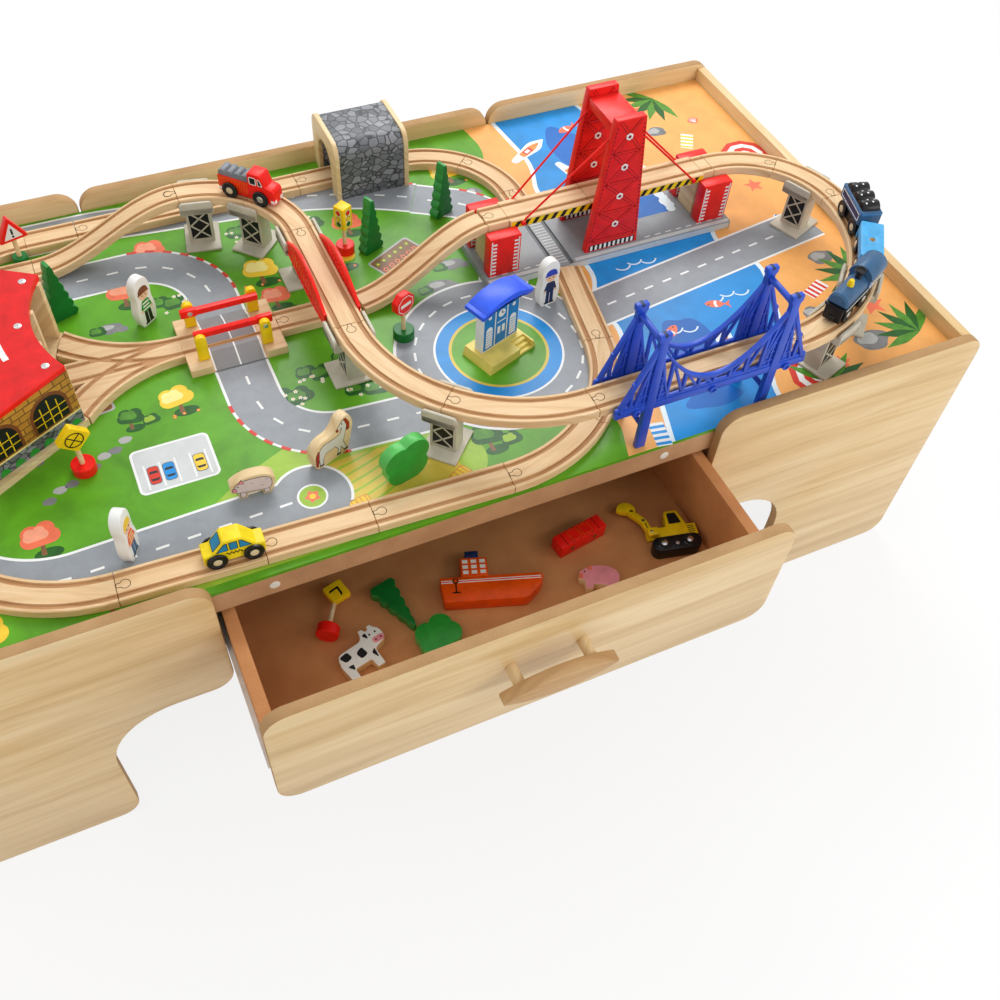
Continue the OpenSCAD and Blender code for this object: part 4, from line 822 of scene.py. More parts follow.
SPAN_X, SPAN, SPAN_H, TAIL = 303.0, 174.0, 188.0, 46.0
bridge = Piece().place(SPAN_X, RAISED_FRONT)
half, foot = SPAN / 2, RAISED - 3
sag, peak, STEPS = RAISED_TOP + 14, SPAN_H - 14, 16
cable = [(half * i / STEPS, sag - 3 + (peak - sag) * (i / STEPS) ** 2) for i in range(-STEPS, STEPS + 1)]
TOWER = symmetric((6.5, 0, 1), (5.5, SPAN_H - 12, 0), (8, SPAN_H - 8, 0.5), (8, SPAN_H, 1))
for s in BOTH:
    bridge.place(SPAN_X, RAISED_FRONT + s * 26)
    bridge.box((SPAN + 2 * TAIL, 6, 11), (0, 0, foot + 5.5), BLUE_PLASTIC, 0.8)
    bridge.box((SPAN + 2 * TAIL, 4, 4), (0, 0, foot + 13), BLUE_PLASTIC, 0.6)
    bridge.cut([(x, z + 2.8) for x, z in cable] + [(x, z - 2.8) for x, z in cable[::-1]], 6, BLUE_PLASTIC,
               soft=0.6)
    for i in range(4, 2 * STEPS - 2, 4):
        bridge.bar((cable[i][0], foot + 9), cable[i], 4, 4.4, BLUE_PLASTIC)
        far = cable[i - 4] if i <= STEPS else cable[min(i + 4, 2 * STEPS - 2)]
        bridge.bar((cable[i][0], foot + 12), (far[0], far[1]), 3.4, 3.6, BLUE_PLASTIC)
    for x in (-half, half):
        k = math.copysign(1, x)
        bridge.cut(TOWER, 7.5, BLUE_PLASTIC, move(x, 0), 0.8, 3)
        bridge.box((4, 8.4, 3), (x, 0, SPAN_H - 1.2), NAVY, 0.3)
        for reach, rise in ((-24, 78), (22, 100)):
            far, near = x + k * reach, x + k * math.copysign(4, reach)
            rail = (far + 2 * near) / 3
            bridge.cut([(near, foot + 8), (far, foot + 8), (near, foot + rise)], 1.6, BLUE_PLASTIC, soft=0.2)
            bridge.bar((far, foot + 8), (near, foot + rise), 3.2, 4.6, BLUE_PLASTIC)
            bridge.bar((rail, foot + 8), (rail, foot + 8 + (rise - 8) * 2 / 3), 2.4, 4.4, BLUE_PLASTIC)
            for n in range(1, 5):
                z = foot + 8 + (rise - 8) * n / 5
                bridge.bar((near, z), (far + (near - far) * n / 5, z), 2.0, 4.0, BLUE_PLASTIC, 0.3)
        bridge.bar((x + k * (TAIL - 4), foot + 8), (x, peak), 5, 6, BLUE_PLASTIC, 0.6)
        bridge.bar((x + k * 27, foot + 8), (x + k * 27, foot + 52), 4, 4.4, BLUE_PLASTIC)
    for x in (-half - 18, 0, half + 18):
        bridge.lathe([(0, 0), (5.2, 0), (5.2, 2.6), (4.6, 3), (3.0, 3), (2.8, 1.6), (0, 1.6)], BLUE_PLASTIC,
                     move(x, s * 3, foot + 3) @ turn(-s * 90, "X"))
bridge.place(SPAN_X, RAISED_FRONT)
for x in (-half, half):
    for z, r in ((34, 3.5), (SPAN_H - 15, 3.8)):
        bridge.rod((x, -25, z), (x, 25, z), r, BLUE_PLASTIC, 16)
    bridge.cut([(-24, SPAN_H - 13), (-24, SPAN_H - 29), (-17, SPAN_H - 19), (17, SPAN_H - 19),
                (24, SPAN_H - 29), (24, SPAN_H - 13)], 3, BLUE_PLASTIC, move(x) @ turn(90), 0.4)
for x in (-half - 18, 0, half + 18):
    bridge.rod((x, -25, foot - 0.5), (x, 25, foot - 0.5), 3.5, BLUE_PLASTIC, 16)
bridge.done("span_bridge_frame", "table", "blue_plastic", "suspension_bridge")

TOWER_H, TOWER_W, TOWER_TOP, TOWER_Y = 205.0, 83.0, 44.0, 38.0
lift = Piece().place(LIFT_X, LIFT_Y, TRACK_T)


def tower_half(z):
    return (TOWER_W + (TOWER_TOP - TOWER_W) * z / TOWER_H) / 2


for s in BOTH:
    at = move(0, s * TOWER_Y)
    lift.cut(symmetric((TOWER_W / 2, 0, 1), (TOWER_TOP / 2, TOWER_H, 2)), 11, TOWER_RED, at, 0.8)
    for face in BOTH:
        lift.pose = move(LIFT_X, LIFT_Y + s * TOWER_Y + face * 5.6, TRACK_T)
        for k in range(4):
            z0, z1 = 18 + k * 46, 18 + (k + 1) * 46
            a, b = tower_half(z0) - 7, tower_half(z1) - 7
            for wide, thick, ink in ((4.4, 0.5, DARK_RED), (2.8, 0.7, TOWER_RED)):
                lift.bar((-a, z0), (b, z1), wide, thick, ink, 0)
                lift.bar((a, z0), (-b, z1), wide, thick, ink, 0)
                lift.bar((-a, z0), (a, z0), wide, thick, ink, 0)
            rosette = move(0, 0, (z0 + z1) / 2) @ turn(-face * 90, "X") @ move(0, 0, -0.2)
            lift.disc(5.4, 0.9, WHITE, rosette, 0.1, 6)
            lift.disc(2.4, 1.1, DARK_RED, rosette, 0.1, 14)
        for k in BOTH:
            for z in range(20, 200, 6):
                lift.box((1.5, 0.5, 2.0), (k * (tower_half(z) - 3), 0, z), BLACK, 0)
        lift.box((72, 0.5, 9), (0, 0, 6.5), BLACK, 0)
        for k in range(10):
            lift.box((3.4, 0.7, 8), (-32.4 + k * 7.2, 0, 6.5), WHITE, 0)
    lift.pose = move(LIFT_X, LIFT_Y, TRACK_T)
lift.box((TOWER_TOP, 64, 14), (0, 0, TOWER_H - 17), TOWER_RED, 1.0)
BLOCK_X, BLOCK_T, BLOCK_H = 167, 18, 63
for x in (-BLOCK_X, BLOCK_X):
    for s in BOTH:
        y = s * (DECK_W / 2 + 10)
        lift.box((46, BLOCK_T, BLOCK_H), (x, y, BLOCK_H / 2), TOWER_RED, 1.2)
        for face in BOTH:
            for k in BOTH:
                lift.box((1.6, 0.4, 56), (x + k * 20, y + face * 9.05, BLOCK_H / 2), WHITE, 0)
                for z in range(6, 60, 6):
                    lift.box((7, 0.4, 2.6), (x + k * 16.4, y + face * 9.05, z), WHITE, 0)
lift.done("lift_tower_pair", "table", "red_paint", "lift_bridge_towers")
deck = Piece().place(LIFT_X, LIFT_Y, RAISED)
for x0, x1 in ((-152, -30.4), (-29.6, 152)):
    deck.sweep(eased(DECK_W / 2), [move(x0), move(x1)], BEECH, soft=0.4, groove=BEECH_GROOVE_SHADE)
for face in BOTH:
    deck.box((302, 0.5, 9.6), (0, face * 23.05, 5.6), YELLOW, 0)
    for k in range(21):
        x = -148 + k * 14
        deck.decal([(x, 0.9), (x + 6.5, 0.9), (x + 12, 10.3), (x + 5.5, 10.3)], BLACK, face * 23.2)
deck.done("lift_deck_planks", "table", "beech", "lift_bridge_deck")
stays = Piece().place(LIFT_X, LIFT_Y)
for x in BOTH:
    for s in BOTH:
        low_end, high_end = (x * 134, s * 22, RAISED + 7), (x * 14, s * 33.5, TRACK_T + TOWER_H - 22)
        stays.rod(low_end, high_end, 1.5, RED, 12)
        stays.disc(3.4, 4, RED, move(x * 134, s * 23, RAISED + 7) @ turn(-s * 90, "X"), 0.6, 16)
stays.done("lift_stay_rods", "table", "red_paint", "lift_bridge_stays")
piers = Piece().place(LIFT_X, LIFT_Y, TRACK_T)
for s in BOTH:
    piers.box((38, 36, 58), (s * 165, 0, 29), PALE_WOOD, 1.0, along=ALONG_Z)
piers.done("lift_pier_blocks", "table", "beech", "lift_bridge_piers")

# Quay: grooved base with a paved top, a pale ledge and painted shade on its groove floors
quay = Piece()
QUAY_GREY = print_ink("quay_ink", (150, 156, 160), 0.08, 50)
QUAY_PALE = print_ink("quay_pale_ink", (206, 210, 210), 0.06, 50)
# Dark grey: painted shade on the quay's groove floors, and the printed outline of the parked cars
DARK_INK_AND_GROOVE_SHADE = print_ink("dark_ink_and_groove_shade", (104, 108, 114), 0.1, 50)
SWAP_XY = Matrix(((0, 1, 0, 0), (1, 0, 0, 0), (0, 0, 1, 0), (0, 0, 0, 1)))
x0, x1 = LIFT_X - 195, LIFT_X + 195
quay.sweep([(x0, 0), (x1, 0), (x1, TRACK_T), *shifted(GROOVES, QUAY_X, 0), (x0, TRACK_T)],
           [move(QUAY_FRONT), move(QUAY_BACK)], QUAY_GREY, SWAP_XY, 0.5, ALONG_Y, DARK_INK_AND_GROOVE_SHADE)
for y in (QUAY_FRONT + 4, QUAY_BACK - 4):
    for a, b in ((x0 + 2, QUAY_X - 20), (QUAY_X + 20, x1 - 2)):
        quay.box((b - a, 6, 0.4), ((a + b) / 2, y, TRACK_T), QUAY_PALE, 0)
for y in (QUAY_FRONT + 12, QUAY_BACK - 12):
    for k in range(22):
        x = x0 + 12 + k * 17.4
        if abs(x - QUAY_X) > 24 and abs(x - LIFT_X) > 52:
            quay.box((9, 1.6, 0.4), (x, y, TRACK_T), ROAD_WHITE, 0)
for k in range(17):
    quay.box((17, 1.8, 0.4), (QUAY_X, QUAY_FRONT + 6 + k * 6.25, TRACK_T), QUAY_PALE, 0)
for y in (QUAY_FRONT, QUAY_BACK):
    quay.box((x1 - x0 - 4, 0.4, 9), ((x0 + x1) / 2, y, 5.4), QUAY_PALE, 0)
quay.box((92, 54, 0.3), (x1 - 114, 66, TRACK_T), DEEP, 0)
for k in range(6):
    at = move(x1 - 69 + 2 * (k % 2), 43 + k * 9, TRACK_T - 0.12 + 0.015 * k)
    quay.disc(7 + k % 3, 0.34, FOAM, at, 0, 18)
quay.done("quay_paving", "table", "grey_print", "quay_base")

# Engine shed
SHED_H, SHED_R, SHED_FLOOR = 97.0, 298.0, 10.0
WALL_X, WALL_L = 224.5, 139.0


def sector(p, r0, r1, z0, z1, half_angle, material, rim=None, soft=0.0, along=ALONG_X):
    """A ring sector about the turnout's tip, opening towards it."""
    n = 22
    way = [turn(90 - half_angle + 2 * half_angle * i / n) for i in range(n + 1)]
    p.sweep([(r0, z0), (r1, z0), (r1, z1), (r0, z1)], way, material, soft=soft, along=along, rim=rim)


def arched(x0, x1, z0, z1):
    """A window outline with a round head."""
    r = (x1 - x0) / 2
    return [(x0, z0), (x1, z0)] + arc((x0 + x1) / 2, z1 - r, r, 0, 180, 10)


def shed_window(x0, x1, out, s):
    """A barred window with a round head, printed on the wall face at y = out."""
    shed.decal(arched(x0 - 4, x1 + 4, 33, 82), CHESTNUT, out + s * 0.1, 0.6)
    shed.decal(arched(x0, x1, 35, 77), BLACK, out + s * 0.3, 0.6)
    for k in range(1, 4):
        x = x0 + (x1 - x0) * k / 4
        shed.box((1.3, 0.5, 38 if k == 2 else 32), (x, out + s * 0.5, 54 if k == 2 else 51), YELLOW, 0)
    for z in (45, 56):
        shed.box((x1 - x0, 0.5, 1.3), ((x0 + x1) / 2, out + s * 0.5, z), YELLOW, 0)


shed = Piece().place(APEX_X, MID_Y)
sector(shed, 153, 300, 0, SHED_FLOOR, 31, PALE_WOOD)
sector(shed, 290, SHED_R, SHED_FLOOR, SHED_H, 30, PALE_WOOD)
sector(shed, SHED_R - 0.1, SHED_R + 0.4, 30, 96, 29.6, BRICK, along=ALONG_Y)
sector(shed, SHED_R - 0.1, SHED_R + 0.4, 10.2, 30.2, 29.6, STONES)
sector(shed, SHED_R - 0.1, SHED_R + 0.6, 29.2, 31.6, 29.6, CREAM)
for angle in (-28.4, -10.3, 10.3, 28.4):
    shed.pose = move(APEX_X, MID_Y) @ turn(180 + angle)
    shed.box((WALL_L, 8, SHED_H - SHED_FLOOR), (WALL_X, 0, (SHED_H + SHED_FLOOR) / 2), PALE_WOOD, 0.8,
             along=ALONG_Z)
    if abs(angle) < 20:
        continue
    s = math.copysign(1, angle)
    out = s * 4.2
    for depth, h, z, ink in ((0.4, 66, 63, BRICK), (0.4, 20, 20.2, STONES), (0.5, 2.4, 30.4, CREAM)):
        shed.box((WALL_L - 2, depth, h), (WALL_X, out, z), ink, 0)
    for x0, x1 in ((170, 214), (236, 280)):
        shed_window(x0, x1, out, s)
    for k in range(7):
        shed.decal([(160 + k * 20, 11), (174 + k * 20, 11), (172 + k * 20, 18), (167 + k * 20, 21),
                    (162 + k * 20, 17)], LEAF, out + s * 0.2)
for angle in (-19, 0, 19):
    shed.pose = move(APEX_X, MID_Y) @ turn(180 + angle) @ move(SHED_R + 0.5) @ turn(90)
    shed_window(-20, 20, 0, -1)
shed.done("shed_house", "table", "toy_print", "shed_walls")
roof = Piece().place(APEX_X, MID_Y)
sector(roof, 158, 304, SHED_H, SHED_H + 8, 31.5, ROOF_RED, RED, 1.0)
for angle in (-26, 0, 26):
    for r in (172, 290):
        roof.pose = move(APEX_X, MID_Y, SHED_H + 8) @ turn(180 + angle) @ move(r)
        roof.lathe([(0, 0), (4.6, 0), (4.4, 0.6), (3.2, 1.1), (1.4, 1.2), (1.2, 0.8), (0, 0.8)], SILVER)
roof.pose = move(APEX_X, MID_Y)
sector(roof, 196, 203, SHED_H + 7.9, SHED_H + 8.3, 15, WHITE)
sector(roof, 248, 255, SHED_H + 7.9, SHED_H + 8.3, 12, WHITE)
roof.pose = move(APEX_X, MID_Y, SHED_H + 14.5) @ turn(174) @ move(207) @ turn(-50) @ turn(90, "Y")
roof.lathe([(0, 0), (5.5, 0), (6.6, 0.8), (7, 2.2), (7, 41.8), (6.6, 43.2), (5.5, 44), (0, 44)], WHITE)
roof.done("shed_top", "table", "red_paint", "shed_roof")

# Tunnel
tunnel = Piece().place(TUNNEL_END - 56, BACK_Y, 0, 90)
BORE = arc(0, 37, 29, 0, 180, 18)


def portal(grow):
    w, h = 50 + grow, 88 + grow
    return [(-w, 0), (-29, 0), *BORE[::-1], (29, 0), (w, 0), (w, h, 20), (-w, h, 20)]


tunnel.cut(portal(0), 98, STONES, soft=0.5)
for s in BOTH:
    tunnel.cut(portal(2), 7, PALE_WOOD, move(0, s * 52.5), 1.0)
tunnel.done("tunnel_block", "table", "stone_print", "stone_tunnel")

# Kiosk
kiosk = Piece().place(KIOSK_X, KIOSK_Y, 0, 20)
PLINTH_H, HOUSE_H = 14, 76
KIOSK_YELLOW = moulded("kiosk_yellow_plastic", (238, 216, 110), 0.4)
KIOSK_BLUE = moulded("kiosk_blue_plastic", (44, 92, 236), 0.35)
KIOSK_FRONT = paint("kiosk_front_paint", (24, 128, 196), 0.35)
for line, depth, y in ((symmetric((41, 0), (41, 4), (37, 14)), 34, 9),
                       ([(-41, 0), (12, 0), (12, 14), (-37, 14), (-41, 4)], 18, -17),
                       ([(35, 0), (41, 0), (41, 4), (37, 14), (35, 14)], 18, -17)):
    kiosk.decal(line, KIOSK_YELLOW, y, depth)
for k in range(3):
    kiosk.box((23.2, 6, 4.5 + 3.6 * k), (23.5, -23 + 6 * k, 2.25 + 1.8 * k), KIOSK_YELLOW, 0.4)
kiosk.box((64, 14, HOUSE_H), (0, 7, PLINTH_H + HOUSE_H / 2), WHITE, 0.8)
for s, y in ((1, -0.2), (-1, 14.2)):
    for x in (-21, 0, 21):
        kiosk.box((18.5, 0.5, 66), (x, y, 50), KIOSK_FRONT, 0)
        if x:
            kiosk.decal(arched(x - 5.5, x + 5.5, 20, 54), WHITE, y - s * 0.2)
            for k in range(6):
                kiosk.box((9, 0.5, 0.8), (x, y - s * 0.4, 24 + k * 4.4), KIOSK_FRONT, 0)
            kiosk.dot(2.8, 0.5, WHITE, move(x, y - s * 0.1, 70), -s)
        else:
            for k in (-4, 4):
                kiosk.box((5, 0.5, 12), (k, y - s * 0.2, 40), WHITE, 0)
            kiosk.box((15, 0.5, 1.6), (0, y - s * 0.2, 54), WHITE, 0)
            kiosk.dot(6, 0.5, WHITE, move(0, y - s * 0.1, 67), -s)
            kiosk.box((0.9, 0.5, 5), (0, y - s * 0.7, 69), BLACK, 0)
            kiosk.box((3.8, 0.5, 0.9), (1.6, y - s * 0.7, 67), BLACK, 0)
curve = [(-44, 0, 0.8), (-33, 0, 1), *arc(0, -70, 77, 113.7, 66.3, 14), (33, 0, 1), (44, 0, 0.8), (44, 6, 1),
         (37.6, 6.4, 1), *arc(0, -70, 86, 65.3, 114.7, 16), (-37.6, 6.4, 1), (-44, 6, 1)]
kiosk.cut(curve, 34, KIOSK_BLUE, move(0, 6, PLINTH_H + HOUSE_H - 6), 1.2)
kiosk.done("kiosk_house", "table", "toy_print", "kiosk")

# Trees


def conifer(h, w, tiers):
    """Outline with rounded tiers that narrow upwards."""
    side = []
    n = 6 * tiers
    for i in range(n + 1):
        t = i / n
        side.append((w / 2 * (1 - 0.86 * t) * (1 - 0.24 * (1 - abs(math.sin(math.pi * tiers * t)))), h * t))
    return side + [(-x, y) for x, y in side[::-1]]


def bush(w, h):
    """The outline of four overlapping rounds, from the foot's right side around."""
    r = h / 3.1
    rounds = [(w / 2 - r, r), (w / 6, h * 0.66), (-w / 5, h * 0.62), (r - w / 2, r)]
    line, start = [], -90.0
    for here, there in zip(rounds, rounds[1:]):
        aim = math.degrees(math.atan2(there[1] - here[1], there[0] - here[0]))
        lens = math.degrees(math.acos(math.dist(here, there) / (2 * r)))
        line += arc(*here, r, start, start + (aim - lens - start) % 360, 9)[:-1]
        start = aim + 180 + lens
    return line + arc(*rounds[-1], r, start, start + (270 - start) % 360, 9)


FOREST_RIM = paint("forest_rim_paint", (52, 146, 66))
LEAF_RIM = paint("leaf_rim_paint", (92, 190, 92))
grove = Piece()
for x, y, a, h, w in ((-380, 142, 20, 86, 42), (39, 126, 24, 85, 38), (162, 165, 24, 85, 38)):
    grove.place(x, y, 0, a).cut(conifer(h, w, 6), 15, FOREST, soft=1.0, rim=FOREST_RIM)
grove.place(-66, -274, 0, 14).cut(bush(56, 64), 15, LEAF, soft=1.0, rim=LEAF_RIM)
grove.done("tree_set", "table", "toy_print", "trees")

# Signs
signs = Piece()


def sign_foot(p, base, h, r):
    """A round foot with its post."""
    p.lathe([(0, 0), (r - 0.8, 0), (r, 0.8), (r, 13), (r - 1, 14), (0, 14)], base)
    p.lathe([(0, 13), (3, 13), (3, h - 0.5), (0, h)], PALE_WOOD)


def ring(p, r, width, depth, material, local):
    """A flat printed ring in the local XZ plane."""
    n = 32
    p.sweep([(r - width, -depth / 2), (r, -depth / 2), (r, depth / 2), (r - width, depth / 2)],
            [turn(360 * i / n) for i in range(n)] + [turn(359.5)], material, local @ STAND)


def sign(x, y, base, h, r, board_z, degrees):
    """A foot; what is added next stands on its post."""
    sign_foot(signs.place(x, y), base, h, r)
    signs.place(x, y, board_z, degrees)


sign(-406, -127, RED, 60, 14, 58, 12)
signs.cut([(0, -19.8, 2), (19.8, 0, 2), (0, 19.8, 2), (-19.8, 0, 2)], 10, YELLOW, soft=0.8)
for s in BOTH:
    ring(signs, 11, 1.4, 0.5, BLACK, move(0, s * 5))
    for z in (-7, 7):
        signs.bar((-7, z), (7, -z), 1.4, 0.5, BLACK, 0, s * 5)
OCTAGON = arc(0, 0, 1, 22.5, 337.5, 7)
sign(18, -54, FOREST, 50, 14, 58, 25)
signs.cut([(17 * x, 17 * y, 1) for x, y in OCTAGON], 10, RED, soft=0.8)
for s in BOTH:
    signs.decal([(14 * x, 14 * y) for x, y in OCTAGON], WHITE, s * 5)
    signs.decal([(13 * x, 13 * y) for x, y in OCTAGON], RED, s * 5.15)
    signs.box((18, 0.5, 5), (0, s * 5.3, 0), WHITE, 0)
sign(-411, 264, FOREST, 46, 10, 42, 15)
signs.cut([(-20, 0, 3), (20, 0, 3), (0, 36, 3)], 10, RED, soft=0.8)
for s in BOTH:
    signs.decal([(-12.5, 4, 1), (12.5, 4, 1), (0, 27, 1)], WHITE, s * 5)
    signs.box((2.6, 0.5, 9), (0, s * 5.2, 14.5), BLACK, 0)
    signs.dot(1.6, 0.5, BLACK, move(0, s * 5.2, 7), s)
sign(4, 134, RED, 46, 13, 44, 30)
signs.box((18, 18, 34), (0, 0, 17), YELLOW, 1.2)
for face in (0, 90, 180, 270):
    keep = signs.pose.copy()
    signs.pose = keep @ turn(face)
    signs.decal(round_box(-4.6, 3, 4.6, 31, 4), CREAM, -9)
    for z, colour in ((8, FOREST), (17, YELLOW), (26, RED)):
        signs.disc(3.7, 0.6, BLACK, move(0, -8.9, z) @ STAND, 0)
        signs.disc(3.0, 0.7, colour, move(0, -9, z) @ STAND, 0.2)
    signs.pose = keep
signs.done("sign_set", "table", "toy_print", "signs")

# People and animals
PERSON = symmetric((12, 0, 3), (17, 20, 10), (12.5, 42, 6), (15, 58, 8.5), (9, 75, 8.8))
HORSE = [(-22, 0, 5), (25, 0, 5), (30, 20, 8), (36, 44, 7), (30, 61, 6), (17, 62, 6.5), (10, 49, 4),
         (2, 42, 5), (-15, 42, 6), (-26, 32, 7), (-26, 12, 7)]
HORSE_PRINT = [(-18, 4), (-13, 4), (-12, 14), (-8, 20), (6, 21), (10, 14), (8, 4), (13, 4), (15, 14), (19, 5),
               (24, 6), (19, 22), (23, 34, 3), (26, 46, 2), (24, 56, 2), (19, 57, 1.5), (9, 46, 0.8),
               (11, 42, 0.8), (18, 46, 1), (15, 38, 2), (8, 36, 2), (-12, 37, 5), (-18, 30, 4), (-19, 16)]
PIG = [(-18, 0, 1), (-9, 0, 1), (-8, 7, 1), (8, 7, 1), (9, 0, 1), (18, 0, 1), (24, 12, 7), (26, 26, 6.5),
       (14, 36, 8), (-12, 36, 10), (-25, 26, 1.2), (-27, 24, 1.2), (-27, 14, 2), (-19, 12, 2)]


def person(p, top, legs, hat, stripes):
    """A white cut-out with a plain printed figure on both faces."""
    p.cut(PERSON, 13, WHITE, soft=1.2)
    for s in BOTH:
        y = s * 6.5
        for k in BOTH:
            p.decal([(k * 3.4 - 2.8, 6, 0.6), (k * 3.4 + 2.8, 6, 0.6), (k * 3.1 + 2.6, 24),
                     (k * 3.1 - 2.6, 24)], legs, y)
            p.decal(round_box(k * 4 - 3.8, 3.6, k * 4 + 3.8, 6.6, 1.2), BLACK, y, 0.6)
            p.decal([(k * 6, 41, 1), (k * 10, 28, 1.2), (k * 7.4, 26, 1.2), (k * 4, 36, 1)][::k], top, y)
            p.dot(1.9, 0.6, SKIN, move(k * 8.9, y - s * 0.3, 26), s)
        p.decal(symmetric((6, 23, 1), (6.6, 41, 2.5)), top, y, 0.6)
        if stripes:
            for z in (26.5, 31.5, 36.5):
                p.box((11.6, 0.7, 2.2), (0, y, z), stripes, 0)
        p.dot(8.6, 0.6, SKIN, move(0, y - s * 0.3, 50), s)
        p.decal(symmetric((9, 52, 1), (8.6, 58, 3), (4, 62, 3)), hat, y, 0.7)
        p.decal(symmetric((10.5, 51.4, 0.6), (9, 53.6, 0.8)), hat, y, 0.9)
        for k in (-3, 3):
            p.dot(1.0, 0.8, BLACK, move(k, y - s * 0.3, 48.6), s)
        p.decal([(-2.4, 45.4, 0.5), (0, 44.4, 0.5), (2.4, 45.4, 0.5), (0, 43.6, 0.5)], CORAL, y, 0.8)


figures = Piece()
person(figures.place(-283, 93, 0, 38), LEAF, BLACK, CHESTNUT, WHITE)
person(figures.place(222, -62, 0, 8), NAVY, NAVY, ROYAL_PAINT, None)
person(figures.place(-384, -262, 0, 62), ORANGE, STEEL_BLUE, YELLOW, CREAM)
figures.place(-140, -214, 0, 22).cut(HORSE, 13, PALE_WOOD, soft=0.8, steps=4)
for s in BOTH:
    at = move(0, s * 6.5)
    figures.badge(HORSE_PRINT, PALE_GREY, at, BLACK, 0.7)
    figures.badge([(21, 58, 1), (25, 58, 1.5), (30, 47, 3), (29, 36, 2), (24.5, 36, 1.5), (25, 46, 2)],
                  MANE_RED, at, BLACK, 0.5, 0.7)
    figures.badge([(8.6, 46, 0.6), (11, 41.6, 0.6), (13.6, 43.2, 0.6), (11.8, 47.6, 0.6)], MANE_RED, at, BLACK,
                  0.4, 0.7)
    figures.badge([(-18, 33, 2), (-17, 26, 3), (-19, 14, 3), (-21, 5, 2), (-24, 8, 2), (-23, 26, 4)], MANE_RED,
                  at, BLACK, 0.5, 0.7)
    for x, z in ((-15.5, 5), (10.5, 5), (21.5, 6.5)):
        figures.box((6, 0.7, 2.6), (x, s * 6.5, z), BLACK, 0)
    figures.dot(0.9, 0.8, BLACK, move(18.5, s * 6.2, 52), s)
PIG_PINK = paint("pale_pink_paint", (224, 206, 200), 0.34, 0.15, 0.05)
figures.place(-235, -230, 0, -4).cut(PIG, 13, PALE_WOOD, soft=0.8, steps=3)
for s in BOTH:
    at = move(0, s * 6.5)
    for x in (-13.5, 13.5):
        figures.badge(round_box(x - 3.6, 2.5, x + 3.6, 12, 1.4), PIG_PINK, at, BLACK, 0.6)
    figures.badge([(-22, 12, 3), (18, 8, 5), (22, 18, 6), (20, 28, 6), (10, 32, 6), (-10, 32, 6), (-20, 27, 4),
                   (-24, 20, 3)], PIG_PINK, at, BLACK, 0.7, 0.6)
    figures.badge([(-18, 27, 0.5), (-13, 34, 1), (-10, 26, 1)], PINK, at, BLACK, 0.5, 0.8)
    figures.badge(round_box(-25, 14, -20, 21, 1.6), PINK, at, BLACK, 0.5, 0.8)
    figures.dot(0.9, 0.9, BLACK, move(-18, s * 6.2, 23), s)
    for x, z in ((-2, 24), (9, 17), (15, 26)):
        figures.box((3, 0.8, 0.8), (x, s * 6.5, z), STONE_GREY, 0)
figures.done("figure_set", "table", "toy_print", "figures")

# Vehicles, drawn ahead along +X with zero on top of the track
DIP = math.sqrt(WHEEL_R ** 2 - (WHEEL_R - GROOVE_D) ** 2)


def on_curve(cx, cy, r, base, degrees, bend):
    """A vehicle's place on a raised curve about (cx, cy), as far inside it as both axles need."""
    k = bend * (r - (base ** 2 / 4 + DIP ** 2) / (2 * r))
    a = math.radians(degrees)
    return move(cx + k * math.sin(a), cy - k * math.cos(a), RAISED_TOP) @ turn(degrees)


LOCO_AT, FLAT_AT, COAL_AT = (on_curve(RIGHT_CX, RAISED_FRONT + RAISED_R, RAISED_R, WHEEL_BASE, a, 1)
                             for a in (25.7, 53, 74))
TRUCK_AT = on_curve(RAISED_START[0], RAMP1_Y - TIGHT_R, TIGHT_R, TRUCK_BASE, -46, -1)
TAXI_BACK = 127.5
TAXI_AT = at_pose(step(after(FRONT_START, FRONT_LEGS, 6), [-TAXI_BACK, 0]), TRACK_T)
SIDE, NARROW = 15.0, 10.75
HUB_CREAM = moulded("cream_plastic", (214, 196, 158), 0.35)


TYRE = [(0, -1.6), (9.8, -1.6), (11.1, -1.3), (11.5, -0.8), (11.5, 0.7), (11, 1.3), (10, 1.6), (8.4, 1.6),
        (8, 0.9), (5.4, 0.9), (0, 0.9)]
HUB = [(0, 0.8), (4.9, 0.8), (4.8, 1.5), (3.7, 2.1), (1.8, 2.4), (0, 2.4)]


def wheelset(name, node, vehicle, end, base, hub):
    p = Piece(pose=vehicle @ move(end * base / 2, 0, AXLE_Z))
    p.rod((0, -13, 0), (0, 13, 0), 1.75, SILVER, 16)
    for s in BOTH:
        out = move(0, s * 13, 0) @ turn(-s * 90, "X")
        p.lathe(TYRE, WHEEL_BLACK, out, 36)
        p.lathe(HUB, hub, out, 24)
    p.done(name, node, "black_wheel", node)


def chassis(p, length, x=0.0):
    p.box((length, 2 * NARROW, 18.8), (x, 0, 12.4), BLACK, 0.8)


def couplings(p, x0, x1):
    for x, s in ((x0, -1), (x1, 1)):
        p.lathe([(0, 0), (4.5, 0), (4.5, 4), (4, 4.8), (2.4, 5), (0, 5)], SILVER if x > -37 else BLACK,
                move(x, 0, 9) @ turn(s * 90, "Y"), 20)


def outlined(p, x0, z0, x1, z1, y, material=WHITE, line=1.0):
    """A printed frame on a vehicle's side."""
    for z in (z0, z1):
        p.box((x1 - x0 + line, 0.4, line), ((x0 + x1) / 2, y, z), material, 0)
    for x in (x0, x1):
        p.box((line, 0.4, z1 - z0), (x, y, (z0 + z1) / 2), material, 0)


def archway(width, spring):
    return [(-width / 2, 0, 1), (width / 2, 0, 1)] + arc(0, spring, width / 2, 0, 180, 16)


def heap(foot, z, r, rounds, n):
    """Rounds (x, first angle, last angle) side by side above a flat foot."""
    return foot + [q for x, a0, a1 in rounds for q in arc(x, z, r, a0, a1, n)]


